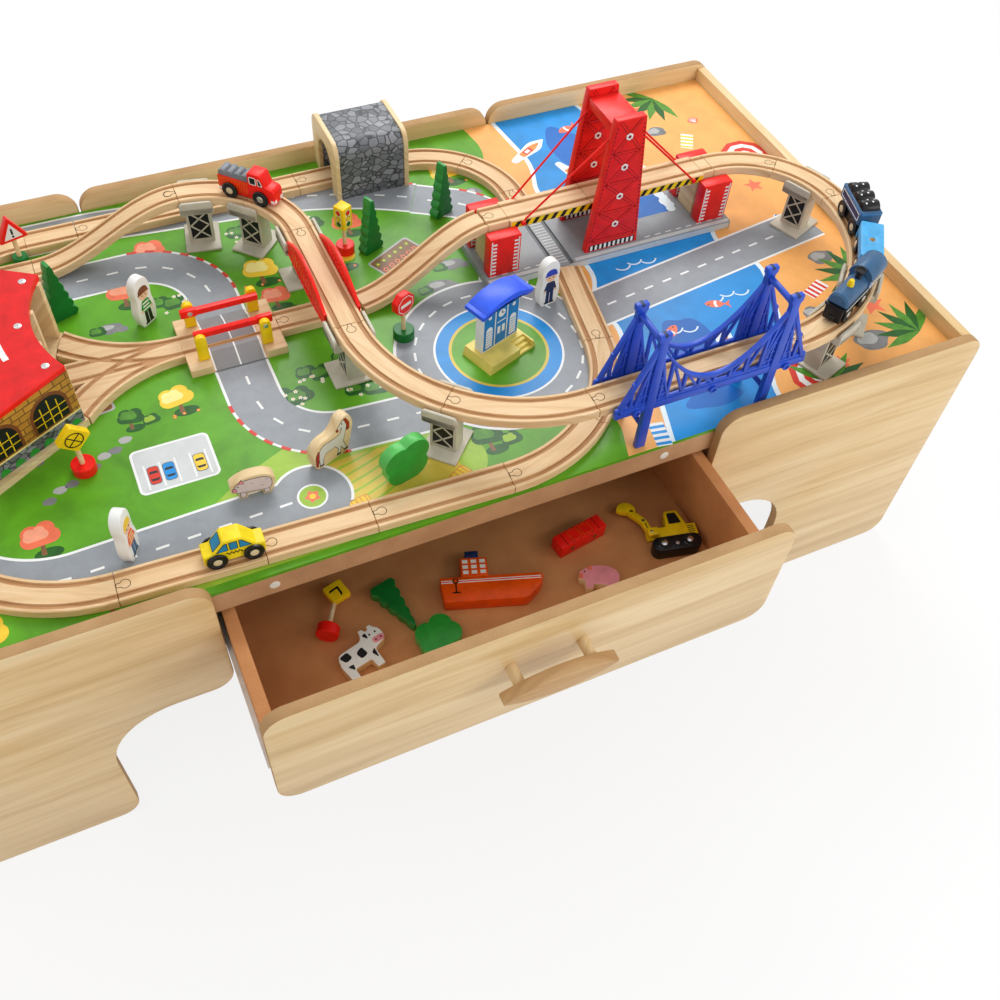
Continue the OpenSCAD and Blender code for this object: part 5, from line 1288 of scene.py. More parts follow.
RIM_BLUE = paint("rim_blue_paint", (70, 124, 172))
loco = Piece(pose=LOCO_AT)
chassis(loco, 92, 9)
loco.box((95, 2 * SIDE, 4.8), (9.5, 0, OVER_WHEELS + 2.4), BLACK, 0.8)
loco.cut(round_box(-12, 4, 12, 26.8, 1.5), 6, BLACK, move(-37) @ turn(90), 1.2)
loco.cut(archway(27, 4.4), 56, STEEL_BLUE, move(-9, 0, OVER_WHEELS + 4.6) @ turn(90), 2.6, rounds=1)
loco.cut(archway(2 * SIDE, 12.4), 39, STEEL_BLUE, move(37.5, 0, OVER_WHEELS + 4.6) @ turn(90), 1.0)
loco.cut(arc(0, 17, 16.5, 2, 178, 20) + arc(0, 17, 14.6, 178, 2, 20), 41, STEEL_BLUE,
         move(37.5, 0, OVER_WHEELS) @ turn(90), 0.5)
loco.lathe([(0, 0), (4.5, 0), (4.4, 3), (3.6, 8), (2.8, 9.4), (0, 9.9)], YELLOW,
           move(-12, 0, OVER_WHEELS + 21.2))
loco.lathe([(0, 0), (4.5, 0), (4.1, 4), (4.3, 7), (5.6, 10), (6.8, 12.6), (6.8, 14.4), (5.6, 14.4),
            (4.6, 12.6), (0, 12.6)], BLACK, move(8, 0, OVER_WHEELS + 20.6))
for s in BOTH:
    loco.box((93, 0.4, 1.2), (9.5, s * SIDE, OVER_WHEELS + 4), WHITE, 0)
    loco.box((37, 0.4, 12), (37.5, s * SIDE, OVER_WHEELS + 11), RIM_BLUE, 0)
    outlined(loco, 21, OVER_WHEELS + 6.5, 54, OVER_WHEELS + 15.5, s * (SIDE + 0.1))
    loco.box((27, 0.5, 1.6), (37.5, s * (SIDE + 0.1), OVER_WHEELS + 11), YELLOW, 0)
couplings(loco, -37, 55)
loco.done("loco_engine", "table", "steel_blue_paint", "loco_body")

flat = Piece(pose=FLAT_AT)
chassis(flat, 68)
for s in (0, 180):
    flat.slab([(-36, 0), (-36, -SIDE, 2), (36, -SIDE, 2), (36, 0), (4, 0)] + arc(0, 0, 4, 0, -180, 12)[1:], 14,
              SKY_BLUE, move(0, 0, OVER_WHEELS) @ turn(s), 0.9, seam=True)
for s in BOTH:
    flat.cut(round_box(-SIDE, 10, SIDE, OVER_WHEELS + 2, 1.5), 3, SKY_BLUE, move(s * 34.5) @ turn(90), 0.5)
flat.disc(4.2, 1, TAN, move(0, 0, OVER_WHEELS + 3), 0)
flat.lathe([(3.7, 4), (4.1, 4), (4.1, 13), (3.7, 13), (3.7, 4)], PALE_WOOD, move(0, 0, OVER_WHEELS))
couplings(flat, -34, 34)
flat.done("flat_wagon_slab", "table", "light_blue_paint", "flat_wagon_body")

coal = Piece(pose=COAL_AT)
chassis(coal, 63)
coal.box((67, 2 * SIDE, 20), (0, 0, OVER_WHEELS + 10), STEEL_BLUE, 1.2)
lumps = heap([(-29.4, -6), (29.4, -6)], 0, 10.5, ((19, 4, 154), (0, 26, 154), (-19, 26, 176)), 10)
coal.cut(lumps, 25, BLACK, move(0, 0, OVER_WHEELS + 18), 1.6)
# White dots along the top of each black round: painted glints
for x in (-19, 0, 19):
    for a, y in ((62, -7), (98, -3), (70, 3), (112, 7)):
        coal.disc(1.3, 0.5, WHITE, move(x, y, OVER_WHEELS + 18) @ turn(90 - a, "Y") @ move(0, 0, 10.3), 0, 12)
for s in BOTH:
    coal.box((65, 0.4, 3), (0, s * SIDE, OVER_WHEELS + 17.6), RIM_BLUE, 0)
    coal.box((0.4, 28, 3), (s * 33.5, 0, OVER_WHEELS + 17.6), RIM_BLUE, 0)
    coal.box((56, 0.4, 9), (0, s * SIDE, OVER_WHEELS + 9.5), NAVY, 0)
    outlined(coal, -28.5, OVER_WHEELS + 4.6, 28.5, OVER_WHEELS + 14.4, s * (SIDE + 0.1), WHITE, 1.2)
couplings(coal, -31.5, 31.5)
coal.done("coal_wagon_box", "table", "steel_blue_paint", "coal_wagon_body")

truck = Piece(pose=TRUCK_AT)
truck.cut([(-41, 4, 1), (43, 4, 1), (43, 21, 1.6), (40, 25, 2), (30.5, 27, 1.5), (24.5, 43.5, 3), (5, 43.5, 2),
           (5, 27.5), (-41, 27.5, 1)], 2 * NARROW, RED, soft=1.0)
load = heap([(-40, 27), (4.6, 27)], 30.5, 5.8,
            ((-1.2, 0, 161), (-12.2, 19, 161), (-23.2, 19, 161), (-34.2, 19, 180)), 8)
truck.cut(load, 18.5, STONE_GREY, soft=0.5)
for s in BOTH:
    at = move(0, s * NARROW)
    truck.box((45, 0.5, 2.4), (-18, s * NARROW, 25.4), ORANGE, 0)
    for k in range(12):
        truck.box((1.5, 0.5, 15), (-38 + k * 3.7, s * NARROW, 16.4), ORANGE, 0.1)
    truck.badge(round_box(7.5, 27.5, 18, 39, 2), BLACK, at, WHITE, 1.1)
    truck.badge([(20, 28, 1), (27.4, 28, 1.2), (23.6, 38, 2), (20, 38, 1)], BLACK, at, WHITE, 1.0)
    for x in (-38, 40):
        truck.box((5, 0.6, 4.6), (x, s * NARROW, 8), WHITE, 0.1)
    for x in (43, -41):
        truck.box((0.6, 5, 4.6), (x, s * 7.2, 8), WHITE, 0.1)
truck.done("red_truck", "table", "red_paint", "truck_body")

taxi = Piece(pose=TAXI_AT)
taxi.cut(symmetric((34, 4, 0.8), (34, 18, 0.5), (33, 19, 0.5), (24.5, 19.5, 0.8), (10, 37.5, 1)), 2 * NARROW,
         LEMON, soft=1.3, rounds=1)
for s in BOTH:
    at = move(0, s * NARROW)
    taxi.badge(round_box(-4.6, 21.5, 4.6, 34.5, 0.8), WINDOW, at)
    for k in BOTH:
        taxi.badge([(k * 6.2, 21.5, 0.8), (k * 20, 21.5, 1), (k * 9.6, 34.5, 1), (k * 6.2, 34.5, 0.8)][::k],
                   WINDOW, at)
    for k in range(4):
        for row in (0, 1):
            taxi.box((2.2, 0.5, 2.2), (-7.7 + 4.4 * k + 2.2 * row, s * NARROW, 15 + 2.2 * row), BLACK, 0)
taxi.pose = TAXI_AT @ move(17.25, 0, 28.5) @ turn(-math.degrees(math.atan2(14.5, 18)), "Y")
taxi.badge(round_box(-8.4, -8.5, 8.4, 8.5, 1.5), WINDOW, turn(90))
taxi.done("yellow_car", "taxi", "yellow_paint", "taxi_body")
for name, node, vehicle, front, base, hubs in (
        ("loco", "loco_{}_wheels", LOCO_AT, -1, WHEEL_BASE, (SILVER, SILVER)),
        ("flat", "flat_wagon_{}_wheels", FLAT_AT, -1, WHEEL_BASE, (HUB_CREAM, HUB_CREAM)),
        ("coal", "coal_wagon_wheels_{}", COAL_AT, -1, WHEEL_BASE, (HUB_CREAM, HUB_CREAM)),
        ("truck", "truck_wheels_{}", TRUCK_AT, 1, TRUCK_BASE, (SILVER, HUB_CREAM)),
        ("car", "taxi_wheels_{}", TAXI_AT, 1, WHEEL_BASE, (HUB_CREAM, HUB_CREAM))):
    for mark, place, end, hub in zip("ab", ("front", "rear"), (front, -front), hubs):
        wheelset(f"{name}_wheelset_{mark}", node.format(place), vehicle, end, base, hub)

# Toys in the drawer, lying flat
IN_DRAWER = ON_BOARD @ move(0, BOX_Y, DRAWER_FLOOR)
toys = Piece(IN_DRAWER)
toys.place(1, 117, 0, -18).slab([(-62, 0, 3), (42, 0, 4), (62, 20, 8), (66, 32, 3), (60, 36, 2), (-66, 36, 3)],
                                20, ORANGE, soft=1.2)
toys.slab(round_box(-38, 35, -4, 64, 1.5), 20, ORANGE, soft=1.0)
toys.slab(round_box(-31, 63.5, -14, 74, 1), 20, NAVY, soft=1.0)
for x in (-32, -21, -10):
    for y in (42, 50, 58):
        toys.box((7, 5, 0.5), (x, y, 20.1), WHITE, 0)
toys.box((126, 4, 0.5), (-1, 29, 20.1), WHITE, 0)
toys.box((126, 1.4, 0.6), (-1, 29, 20.2), RED, 0)
toys.lathe([(0, 0), (4, 0), (4, 0.4), (0, 0.4)], BLACK, move(-46, 30, 20.2), 20)
toys.lathe([(0, 0), (2.4, 0), (2.4, 0.6), (0, 0.6)], ORANGE, move(-46, 30, 20.2), 20)
toys.box((1.6, 14, 0.5), (-46, 20, 20.2), BLACK, 0)
toys.box((10, 1.6, 0.5), (-46, 13, 20.2), BLACK, 0)
toys.place(145, 168, 0, 9.6).box((72, 22, 22), (0, 0, 11), RED, 1.2)
for x in range(-25, 26, 10):
    toys.box((1, 20, 0.4), (x, 0, 22), DARK_RED, 0)
for x in (-9, 9):
    toys.label(round_box(x - 7.5, -8, x + 7.5, 8, 1), ORANGE, 22.1, 0.4)
    toys.label(round_box(x - 6.7, -7.2, x + 6.7, 7.2, 0.8), RED, 22.1)
for x in (-18, 18):
    toys.lathe([(0, 0), (3.2, 0), (3.2, 0.3), (0, 0.3)], CHESTNUT, move(x, -11, 11) @ STAND, 20)
toys.place(-120, 196, 0, -166).slab(conifer(74, 38, 5), 15, FOREST, soft=1.0, rim=FOREST_RIM)
toys.place(-76, 82, 0, 12).slab(bush(56, 46), 15, LEAF, soft=1.0, rim=LEAF_RIM)
COW = [(-30, 0, 1), (-20, 0, 1), (-19, 13, 2), (3, 13, 2), (4, 0, 1), (14, 0, 1), (15, 22, 2), (24, 26, 3),
       (34, 28, 6), (34, 44, 4), (29, 49, 2), (27, 54, 1), (22, 54, 1), (21, 49, 1), (17, 49, 1), (15, 54, 1),
       (10, 54, 1), (9, 48, 2), (5, 41, 4), (-28, 40, 6), (-32, 24, 3)]
toys.place(-166, 87, 0, 14).slab(COW, 14, WHITE, soft=0.8, steps=3, rim=PALE_WOOD)
for spot in ([(-28, 36, 3), (-16, 38, 3), (-14, 28, 3), (-24, 26, 3)],
             [(-8, 30, 3), (2, 34, 3), (4, 22, 3), (-6, 20, 3)],
             [(-26, 20, 2), (-18, 20, 2), (-20, 12, 2)], [(8, 20, 2), (14, 24, 2), (12, 10, 2)],
             [(10, 46, 2), (16, 47, 2), (15, 38, 2)]):
    toys.label(spot, BLACK, 13.9)
toys.label(round_box(18, 28, 33, 36, 3), PINK, 13.9, 0.6)
for x, y in ((19, 42), (27, 42), (22, 32), (29, 32)):
    toys.disc(1.2, 0.7, BLACK, move(x, y, 13.9), 0, 12)
toys.place(133, 84, 0, -26).slab(PIG, 12, PINK, soft=0.8, steps=3, rim=PALE_WOOD)
toys.disc(1.1, 0.6, BLACK, move(-20, 25, 11.8), 0, 12)
toys.label([(-17, 30, 0.5), (-12, 36, 1), (-10, 28, 1)], CORAL, 11.9, 0.6)
toys.label(round_box(-27, 15, -22, 22, 1.5), CORAL, 11.9, 0.6)
toys.pose = move(-205, 150, 14) @ turn(60) @ turn(90, "Y")
sign_foot(toys, RED, 50, 14)
toys.pose = toys.pose @ move(0, 0, 62) @ turn(90, "Y") @ turn(90)
toys.slab([(0, -18, 2), (18, 0, 2), (0, 18, 2), (-18, 0, 2)], 10, YELLOW, move(0, 0, -5), 0.8)
for z in (-5.2, 4.8):
    toys.label([(-8, -2), (0, 7), (8, -2), (8, -6), (0, 3), (-8, -6)], BLACK, z, 0.4)
toys.done("drawer_toy_set", "drawer", "toy_print", "drawer_toys")

DIGGER = IN_DRAWER @ move(259, 121, 0) @ turn(-12)
digger = Piece(DIGGER)
digger.slab(round_box(-32, -26, 34, -4, 10), 20, BLACK, soft=1.4, steps=8)
digger.slab([(-18, -5, 1), (34, -5, 1), (34, 12, 2), (22, 12, 1), (16, 36, 3), (-2, 36, 3), (-6, 12, 1),
             (-18, 12, 2)], 16, YELLOW, move(0, 0, 2), 1.0)
digger.label([(-1, 15, 1.5), (16, 15, 1.5), (12.5, 32, 2), (0.6, 32, 2)], BLACK, 17.8)
for y in (-1, 2, 5, 8):
    digger.box((9, 1.2, 0.5), (26, y, 18), BLACK, 0)
for z in (2, 14):
    digger.box((15, 12, 4), (-24.5, 8, z + 2), YELLOW, 0.8)
digger.rod((-27, 8, 2), (-27, 8, 18.3), 1.98, SILVER, 16)
for x in (-17, 18):
    digger.lathe([(0, 18), (9.6, 18), (9.6, 20.6), (8.6, 21.4), (6, 21.4), (0, 21.4)], WHEEL_BLACK,
                 move(x, -15), 28)
    digger.lathe([(0, 21), (4.6, 21), (4.4, 22.4), (3, 23), (0, 23)], SILVER, move(x, -15), 24)
digger.lathe([(0, 19), (2.6, 19), (2.6, 20.6), (0, 20.9)], SILVER, move(0.5, -17), 20)
digger.done("digger_body", "drawer", "yellow_paint", "excavator_body")
boom = Piece(DIGGER @ move(-27, 8, 6.4))
boom.lathe([(2.06, 0.2), (4.6, 0), (5, 0.4), (5, 6.8), (4.6, 7.2), (2.06, 7.0), (2.06, 0.2)], YELLOW, None, 24)
boom.slab([(-4.2, 3.6), (4, 4.2), (0.8, 20.5, 3), (-1.4, 26, 3), (-14.6, 43), (-21.4, 37.4), (-8.6, 21, 3)],
          7.2, YELLOW, soft=0.6)
boom.slab([(x - 22, y + 42) for x, y in arc(0, 0, 13, -20, 170, 14)] + [(-33, 42, 2), (-24, 38, 2)], 7.2,
          YELLOW, soft=0.6)
boom.lathe([(0, 7), (2.2, 7), (2.2, 7.5), (0, 7.6)], SILVER, move(-4, 22), 16)
for k in range(3):
    boom.box((1.2, 4, 0.4), (-2 - k * 0.4, 9 + k * 3, 7.2), BLACK, 0)
boom.done("digger_boom", "excavator_arm", "yellow_paint", "excavator_arm")

# Printed scene on the board: every layer lies a hair above the one below it
board = Piece()
SHEET = 0.06


def patch(outline, material, level, steps=6):
    board.label(outline, material, level, SHEET, steps)


def blob(x, y, rx, ry, material, level, wobble=0.12, n=26):
    """A rounded patch with an uneven rim."""
    a, b = draw.uniform(0, 6), draw.uniform(0, 6)
    line = []
    for i in range(n):
        t = math.tau * i / n
        k = 1 + wobble * (math.sin(3 * t + a) + 0.6 * math.sin(5 * t + b))
        line.append((x + rx * k * math.cos(t), y + ry * k * math.sin(t)))
    patch(line, material, level)


def sheet(width):
    """A printed band's section."""
    return [(-width / 2, 0), (width / 2, 0), (width / 2, SHEET), (-width / 2, SHEET)]


def strip(width, legs, pose, material, level):
    """A printed band along legs."""
    here = pose
    for leg in legs:
        way = [Matrix(), move(leg[0])] if leg[1] == 0 else circle_way(*leg)
        board.sweep(sheet(width), way, material, at_pose(here, level))
        here = step(here, leg)


def marks(legs, pose, level, offset, size, gap, width, material):
    """Short bars along legs, such as a middle line or a kerb."""
    here = pose
    for leg in legs:
        length = leg[0] if leg[1] == 0 else math.radians(abs(leg[1])) * leg[0]
        n = max(1, int(length / (size + gap)))
        for i in range(n):
            part = (i + 0.5) / n
            spot = step(here, [leg[0] * part, 0] if leg[1] == 0 else [leg[0], leg[1] * part])
            scale = 1.0 if leg[1] == 0 else 1 - offset / leg[0] * math.copysign(1, leg[1])
            board.pose = at_pose(spot, level)
            board.box((size * scale, width, SHEET), (0, offset, SHEET / 2), material, 0)
            board.pose = Matrix()
        here = step(here, leg)


def stamp(x, y, degrees, level, *shapes):
    """A small printed motif: pairs of ink and outline, the first one lowest."""
    board.pose = move(x, y, level) @ turn(degrees)
    for k, (ink, outline) in enumerate(shapes):
        board.label(outline, ink, 0.015 * k, SHEET, 4)
    board.pose = Matrix()


def star(even, odd, start, soft):
    """The outline of a star with five rays, whose points lie on two radii in turn."""
    return [(r * math.cos(a), r * math.sin(a), soft) for k in range(10)
            for r, a in [((even, odd)[k % 2], math.radians(36 * k + start))]]


def flower(x, y, r, petals, heart, level):
    rim = star(r * 0.5, r, 0, r * 0.28)
    stamp(x, y, draw.uniform(0, 72), level, (petals, rim), (heart, arc(0, 0, r * 0.36, 0, 324, 9)))


def shrub(x, y, s, dark, light, level):
    """A printed bush or crown of four rounds with a lit side."""
    stamp(x, y, draw.uniform(-12, 12), level, (dark, bush(44 * s, 34 * s)),
          (light, shifted(bush(28 * s, 20 * s), -4 * s, 9 * s)))


def printed_tree(x, y, s, dark, light, level):
    shadow = [(5 * s + 0.8 * px, 0.4 * py - 3 * s) for px, py in arc(0, 0, 20 * s, 0, 345, 23)]
    stamp(x, y, 0, level, (BUSH_DARK, shadow),
          (SOIL, [(-3 * s, -4 * s, 1), (3 * s, -4 * s, 1), (2 * s, 18 * s), (-2 * s, 18 * s)]))
    shrub(x, y + 10 * s, s, dark, light, level + 0.04)


def parked_car(x, y, degrees, ink):
    stamp(x, y, degrees, 0.26, (DARK_INK_AND_GROOVE_SHADE, round_box(-14, -7, 14, 7, 4)),
          (ink, round_box(-13, -6.3, 13, 6.3, 4)),
          (BLACK_INK, round_box(-8.5, -5, 6.5, 5, 2.4)), (ink, round_box(-5, -5, 2.6, 5, 1.2)))


def boat(x, y, degrees, ink):
    hull = [(-26, -8, 3), (12, -9, 8), (30, 0, 2), (12, 9, 8), (-26, 8, 3)]
    stamp(x, y, degrees, 0.16, (FOAM, [(-44, -5, 4), (14, -13, 8), (38, 0, 3), (14, 13, 8), (-44, 5, 4)]),
          (ROAD_WHITE, hull),
          (SAND_DARK, [(c[0] * 0.84, c[1] * 0.72, c[2]) for c in hull]), (ink, round_box(-14, -5, 4, 5, 2)),
          (ROAD_WHITE, round_box(-11, -3, -1, 3, 1)))


def fish(x, y, degrees, ink):
    stamp(x, y, degrees, 0.14, (ink, [(-13, 0), (-23, 8, 1), (-20, 0), (-23, -8, 1)]),
          (ink, [(-15, 0, 1), (-5, -8, 5), (9, -6, 5), (15, 0, 2), (9, 6, 5), (-5, 8, 5)]),
          (ROAD_WHITE, [(-4, -6, 1), (0, -6.4, 1), (2, 0, 2), (0, 6.4, 1), (-4, 6, 1), (-2, 0, 2)]),
          (BLACK_INK, arc(9, 1.6, 1.3, 0, 324, 9)))


def towel(x, y, degrees, ink):
    stamp(x, y, degrees, 0.1, (ROAD_WHITE, round_box(-19, -10, 19, 10, 1)),
          *((ink, round_box(-17 + 9 * k, -10, -12.5 + 9 * k, 10, 0.2)) for k in range(4)))


def shell(x, y, degrees):
    stamp(x, y, degrees, 0.1, (CORAL, arc(0, 0, 11, 15, 165, 10) + [(-2.5, -5, 1), (2.5, -5, 1)]),
          *((FOAM, [(-0.5, -3), (0.5, -3), (px + 0.6, py), (px - 0.6, py)])
            for px, py in arc(0, 0, 9.4, 40, 140, 4)))


def straw_bale(x, y, degrees):
    stamp(x, y, degrees, 0.12, (SAND_DARK, round_box(-13, -9, 13, 9, 3)),
          (BLOOM, round_box(-12, -7, 12, 8, 3)),
          *((SAND_DARK, round_box(-9.6 + 6 * k, -7, -8.4 + 6 * k, 8, 0.2)) for k in range(4)))


def garden_bed(x, y, degrees):
    stamp(x, y, degrees, 0.1, (ROCK_LIGHT, round_box(-40, -27, 40, 27, 5)),
          (SOIL, round_box(-37, -24, 37, 24, 4)))
    across = turn(degrees)
    for row in range(3):
        for k in range(6):
            at = across @ Vector((-30 + 12 * k, -15 + 15 * row, 0))
            flower(x + at.x, y + at.y, 5.4, BUSH_LIGHT if row != 1 else CORAL,
                   BLOOM if row == 2 else BUSH_DARK, 0.15)


ROAD_W = 62.0


def street(legs, pose, rank, kerb=()):
    """A road with white rims, a dashed middle line and red and white kerbs on the named legs."""
    strip(ROAD_W + 7, legs, pose, ROAD_WHITE, 0.1 + 0.004 * rank)
    strip(ROAD_W, legs, pose, ROAD, 0.2 + 0.004 * rank)
    marks(legs, pose, 0.3, 0, 15, 17, 3.2, ROAD_WHITE)
    for i in kerb:
        side = -math.copysign(1, legs[i][1])
        marks([legs[i]], after(pose, legs, i), 0.32, side * (ROAD_W / 2 + 2), 9, 9, 4.6, KERB_RED)


HALF_L, HALF_D = BOARD_L / 2 - 0.5, BOARD_D / 2 - 0.5
# Water and shore on the right
SHORE = [(196, -HALF_D), (214, -292, 20), (196, -232, 30), (236, -176, 24), (222, -120, 20), (252, -60, 24),
         (238, -6, 20), (262, 60, 24), (250, 118, 20), (276, 170, 24), (262, 232, 20), (284, 290, 20),
         (276, HALF_D)]
patch(SHORE + [(HALF_L, HALF_D), (HALF_L, -HALF_D)], SAND, 0.0, 4)
WATERLINE = [(262, -HALF_D), (286, -268, 24), (262, -206, 24), (300, -150, 24), (284, -96, 20), (318, -30, 24),
             (300, 36, 20), (330, 96, 24), (318, 160, 20), (342, 226, 24), (330, HALF_D)]
FAR_SHORE = [(474, HALF_D), (492, 262, 20), (470, 200, 24), (512, 140, 24), (494, 78, 20), (530, 24, 24),
             (506, -42, 24), (546, -100, 24), (520, -168, 24), (500, -224, 24), (462, -262, 24),
             (430, -300, 20), (420, -HALF_D)]
patch([(x - 7, *r) for x, *r in WATERLINE] + [(x + 7, *r) for x, *r in FAR_SHORE], FOAM, 0.02, 4)
patch(WATERLINE + FAR_SHORE, WATER, 0.06, 4)
for x, y, rx, ry in ((372, -214, 34, 62), (402, -92, 52, 26), (404, 62, 40, 66), (412, 250, 30, 52),
                     (348, -300, 40, 18)):
    blob(x, y, rx, ry, DEEP, 0.08, 0.08, 40)
for spot in ((412, -222, 64, KERB_RED), (392, 176, -70, BLOOM), (352, 262, 30, KERB_RED)):
    boat(*spot)
for spot in ((330, -262, 20, BLOOM), (440, -150, 160, CORAL), (356, -176, 40, CORAL), (316, -222, 190, BLOOM),
             (430, 292, 200, CORAL)):
    fish(*spot)
for spot in ((592, -176, 24, KERB_RED), (640, -30, -30, WATER), (600, 196, 60, BLOOM), (250, -330, 80, WATER)):
    towel(*spot)
for spot in ((566, -262, 20), (612, -236, -40), (560, 60, 70), (640, 240, 10), (232, 20, -30), (596, -66, 100),
             (250, -210, 40)):
    shell(*spot)
for x, y in ((346, -36), (436, -142), (388, 150), (330, -180), (448, 40), (372, -270), (420, 196)):
    for k in range(3):
        at = move(x + k * 21, y + (k % 2) * 5, 0.12) @ turn(-60)
        board.sweep(sheet(2.2), circle_way(13, 120, 8), FOAM, at)
for x, y, r in ((606, -290, 26), (590, 150, 22), (232, -258, 14), (566, 236, 17), (640, -120, 20),
                (560, -214, 15), (226, 196, 13)):
    blob(x, y, r, r * 0.7, ROCK, 0.06, 0.08)
    blob(x - r * 0.2, y + r * 0.15, r * 0.6, r * 0.4, ROCK_LIGHT, 0.08, 0.08)
for x, y, r in ((648, -232, 22), (560, 300, 18), (640, 60, 17), (540, -312, 16), (230, 120, 14)):
    patch(shifted(star(r, r * 0.42, 12, 2), x, y), CORAL, 0.06, 2)
for x, y in ((498, -318), (670, 130)):
    for k, colour in enumerate((KERB_RED, ROAD_WHITE, KERB_RED, ROAD_WHITE)):
        blob(x, y, 40 - 9 * k, 40 - 9 * k, colour, 0.06 + 0.02 * k, 0.0, 10)
for x, y, a in ((676, -300, 118), (668, -170, 150), (608, 318, 210), (508, -334, 60)):
    for k in range(-3, 4):
        board.pose = move(x, y, 0.1 + 0.004 * (k + 3)) @ turn(a + 24 * k)
        board.label([(0, -2), (30, -8, 8), (62, 0, 2), (30, 8, 8), (0, 2)], BUSH_LIGHT if k % 2 else BUSH_DARK,
                    0, SHEET, 4)
    board.pose = Matrix()
# Fields, pond and garden patches
patch([(-330, -338), (-96, -338), (60, -300, 60), (10, -206, 50), (-90, -150, 60), (-220, -190, 60),
       (-330, -262, 40)], MEADOW, 0.0, 8)
patch([(-250, -330), (-60, -330), (20, -296, 40), (-40, -222, 40), (-160, -220, 40)], STRAW, 0.03, 8)
for k in range(6):
    strip(3, [[420, 24]], [-236 + k * 6, -318 + k * 15, 2], MEADOW, 0.06)
blob(-440, 205, 78, 34, FOAM, 0.02, 0.06)
blob(-440, 205, 72, 29, WATER, 0.05, 0.06)
blob(-450, 208, 36, 12, DEEP, 0.08, 0.06)
for x, y in ((-480, 214), (-424, 196), (-404, 216), (-462, 192)):
    blob(x, y, 7, 5, BUSH_LIGHT, 0.1, 0.05, 14)
# Roads
STREETS = (
    ([[56, 0], [96, 86], [150, 0]], [CROSS_X, MID_Y - 49, -90], (1,)),
    ([[40, 0], [92, 90], [120, 0], [88, 80]], [CROSS_X, MID_Y + 49, 90], (1,)),
    ([[250, 0], [150, -92], [466, 0]], [-190, -262, 182], (1,)),
    ([[150, 0], [90, 88], [57, 0]], [150, -70, 62], (1,)),
    ([[480, 0]], [196, -112, 8], ()),
    ([[232, 0], [400, -6], [208, 0], [552, -24]], [-562, 308, 0], (3,)),
)
for rank, (legs, pose, kerb) in enumerate(STREETS):
    street(legs, pose, rank, kerb)
# Turning place at the front street's end
for r, ink, level in ((ROAD_W / 2 + 17, ROAD_WHITE, 0.12), (ROAD_W / 2 + 13.5, ROAD, 0.225),
                      (18, ROAD_WHITE, 0.34), (15.5, MEADOW, 0.36)):
    board.disc(r, SHEET, ink, move(-176, -262, level), 0, 64)
flower(-176, -262, 11, CORAL, BLOOM, 0.4)
# Round place under the kiosk
for r, material, level in ((138, ROAD_WHITE, 0.28), (134, ROAD, 0.34), (86, ROAD_WHITE, 0.38),
                           (83, WATER, 0.42), (66, STRAW, 0.46), (62, GRASS, 0.5)):
    board.disc(r, SHEET, material, move(KIOSK_X, KIOSK_Y, level), 0, 96)
for k in range(24):
    board.pose = move(KIOSK_X, KIOSK_Y, 0.42) @ turn(15 * k)
    board.box((3.2, 15, SHEET), (110, 0, SHEET / 2), ROAD_WHITE, 0)
board.pose = Matrix()
# Car park, flower beds, stones and shrubs
patch(round_box(-356, -190, -262, -120, 8), ROAD_WHITE, 0.1)
patch(round_box(-353, -187, -265, -123, 6), QUAY_PALE, 0.14)
for k in range(5):
    patch([(-345 + k * 18, -184), (-343 + k * 18, -184), (-343 + k * 18, -146), (-345 + k * 18, -146)],
          ROAD_WHITE, 0.2)
for x, ink in ((-335, KERB_RED), (-317, WATER), (-281, BLOOM)):
    parked_car(x, -164, 90, ink)
for k in range(8):
    blob(-452 + 14 * k, -158 + 8 * k + 4 * (k % 2), 8, 5.5, ROCK_LIGHT if k % 2 else ROCK, 0.06, 0.05)
for spot in ((-128, -292, 10), (-62, -322, -20), (-4, -296, 30), (-100, -316, 70)):
    straw_bale(*spot)
garden_bed(70, 92, 28)
garden_bed(-396, -24, 8)
SPOTS = ((-110, -80), (-40, 60), (-300, 150), (-120, 130), (-330, -70), (-60, -130), (100, 20), (24, 186),
         (-520, -40), (-500, 120), (-560, 240), (-470, -90), (-250, 226), (206, 246), (60, -262), (-30, 206),
         (176, -262), (-470, -210), (-280, -60), (-90, 30), (-250, 112), (-330, 96), (-116, 76), (-10, 120),
         (-56, -72), (-150, -110), (-560, 40), (-580, -190), (-650, 140), (-410, 96), (-110, 214), (132, 56),
         (-418, -318), (-546, -318), (-640, -60), (-650, 260))
for k, (x, y) in enumerate(SPOTS):
    size, kind = draw.uniform(0.75, 1.1), k % 5
    if kind == 0:
        shrub(x - 14 * size, y, 0.8 * size, BUSH_DARK, BUSH_LIGHT, 0.08)
        shrub(x + 12 * size, y - 8, 0.9 * size, BUSH_DARK, BUSH_LIGHT, 0.12)
        for i in range(7):
            flower(x + draw.uniform(-30, 30) * size, y + draw.uniform(-16, 22) * size, 3.6, ROAD_WHITE, BLOOM,
                   0.18)
    elif kind == 1:
        blob(x, y, 20 * size, 12 * size, ROCK, 0.08, 0.05)
        blob(x - 4, y + 3, 12 * size, 6 * size, ROCK_LIGHT, 0.1, 0.05)
        blob(x + 18 * size, y - 6, 9 * size, 7 * size, ROCK, 0.12, 0.05)
        shrub(x - 20 * size, y - 10 * size, 0.5, BUSH_DARK, BUSH_LIGHT, 0.14)
    elif kind == 2:
        printed_tree(x, y - 16, 1.1 * size, CORAL, BLOSSOM, 0.08)
    elif kind == 3:
        printed_tree(x, y - 16, 1.1 * size, BLOOM, CREAM_INK, 0.08)
        for i in range(4):
            flower(x + draw.uniform(-28, 28) * size, y - 18 - draw.uniform(0, 10) * size, 3.2, CORAL, BLOOM,
                   0.18)
    else:
        printed_tree(x - 12, y - 12, 0.9 * size, BUSH_DARK, BUSH_LIGHT, 0.08)
        shrub(x + 16 * size, y - 14, 0.6 * size, BUSH_DARK, MEADOW, 0.16)
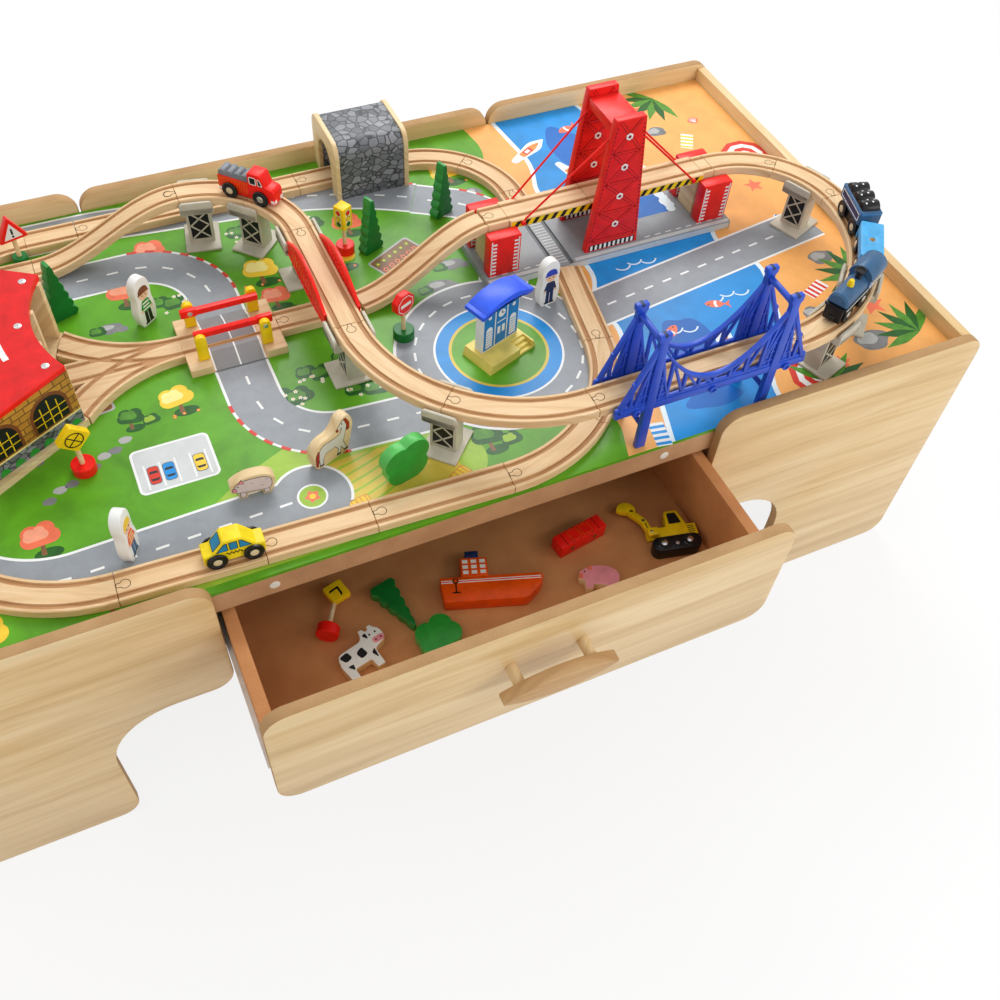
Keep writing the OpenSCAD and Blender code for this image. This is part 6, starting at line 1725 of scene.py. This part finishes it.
board.done("board_print", "table", "printed_board")

# Stage, light and camera
floor_mesh = bpy.data.meshes.new("floor")
bm = bmesh.new()
bmesh.ops.create_grid(bm, x_segments=1, y_segments=1, size=40)
bm.to_mesh(floor_mesh)
bm.free()
floor = bpy.data.objects.new("floor", floor_mesh)
bpy.context.collection.objects.link(floor)


def seen_rays(tree):
    """1 for rays that the camera sees, also in a gloss or through a glass, else 0."""
    rays = tree.nodes.new("ShaderNodeLightPath").outputs
    seen = rays["Is Camera Ray"]
    for kind in ("Is Glossy Ray", "Is Transmission Ray"):
        either = tree.nodes.new("ShaderNodeMath")
        either.operation = "MAXIMUM"
        tree.links.new(seen, either.inputs[0])
        tree.links.new(rays[kind], either.inputs[1])
        seen = either.outputs[0]
    return seen


paper = Finish("white_floor", Roughness=0.9, Base_Color=(0.9, 0.9, 0.9, 1))
glow = paper.node("Emission", {"Color": (1, 1, 1, 1), "Strength": 1.0})
share = paper.node("Math", {0: seen_rays(paper.tree), 1: 0.82}, operation="MULTIPLY").outputs[0]
mixed = paper.node("MixShader", {0: share, 1: paper.shader.outputs[0], 2: glow.outputs[0]})
paper.tree.links.new(mixed.outputs[0], paper.tree.nodes["Material Output"].inputs["Surface"])
floor_mesh.materials.append(paper.material)

world = bpy.data.worlds.new("studio")
bpy.context.scene.world = world
world.use_nodes = True
nodes, links = world.node_tree.nodes, world.node_tree.links
sky, level = nodes["Background"], nodes.new("ShaderNodeMapRange")
sky.inputs["Color"].default_value = (1, 1, 1, 1)
level.inputs["To Min"].default_value = 0.62
level.inputs["To Max"].default_value = 1.0
links.new(seen_rays(world.node_tree), level.inputs["Value"])
links.new(level.outputs[0], sky.inputs["Strength"])


def softbox(name, place, aim, size, watts):
    data = bpy.data.lights.new(name, "AREA")
    data.shape = "RECTANGLE"
    data.size, data.size_y = size
    data.energy = watts
    lamp = bpy.data.objects.new(name, data)
    bpy.context.collection.objects.link(lamp)
    aim = (Vector(aim) - Vector(place)).to_track_quat("-Z", "Y")
    lamp.matrix_world = Matrix.Translation(place) @ aim.to_matrix().to_4x4()


softbox("softbox_left", (-1.9, 0.5, 2.5), (0, 0, 0.4), (1.6, 1.6), 10)
softbox("softbox_front", (1.7, -2.3, 1.8), (0.2, 0, 0.3), (2.0, 1.4), 32)
softbox("softbox_back", (0.9, 1.8, 2.5), (0, 0.1, 0.4), (1.8, 1.2), 50)

view = bpy.data.cameras.new("photo_view")
view.sensor_width = 36.0
view.lens = 38.264
camera = bpy.data.objects.new("photo_view", view)
bpy.context.collection.objects.link(camera)
RIGHT, UP = (0.90867, -0.41397, 0.05404, 0), (0.29952, 0.73660, 0.60638, 0)
BEHIND, EYE = (-0.29084, -0.53482, 0.79333, 0), (-0.338, -0.9085, 1.395, 1)
camera.matrix_world = Matrix((RIGHT, UP, BEHIND, EYE)).transposed()
bpy.context.scene.camera = camera
bpy.context.scene.view_settings.view_transform = "Standard"
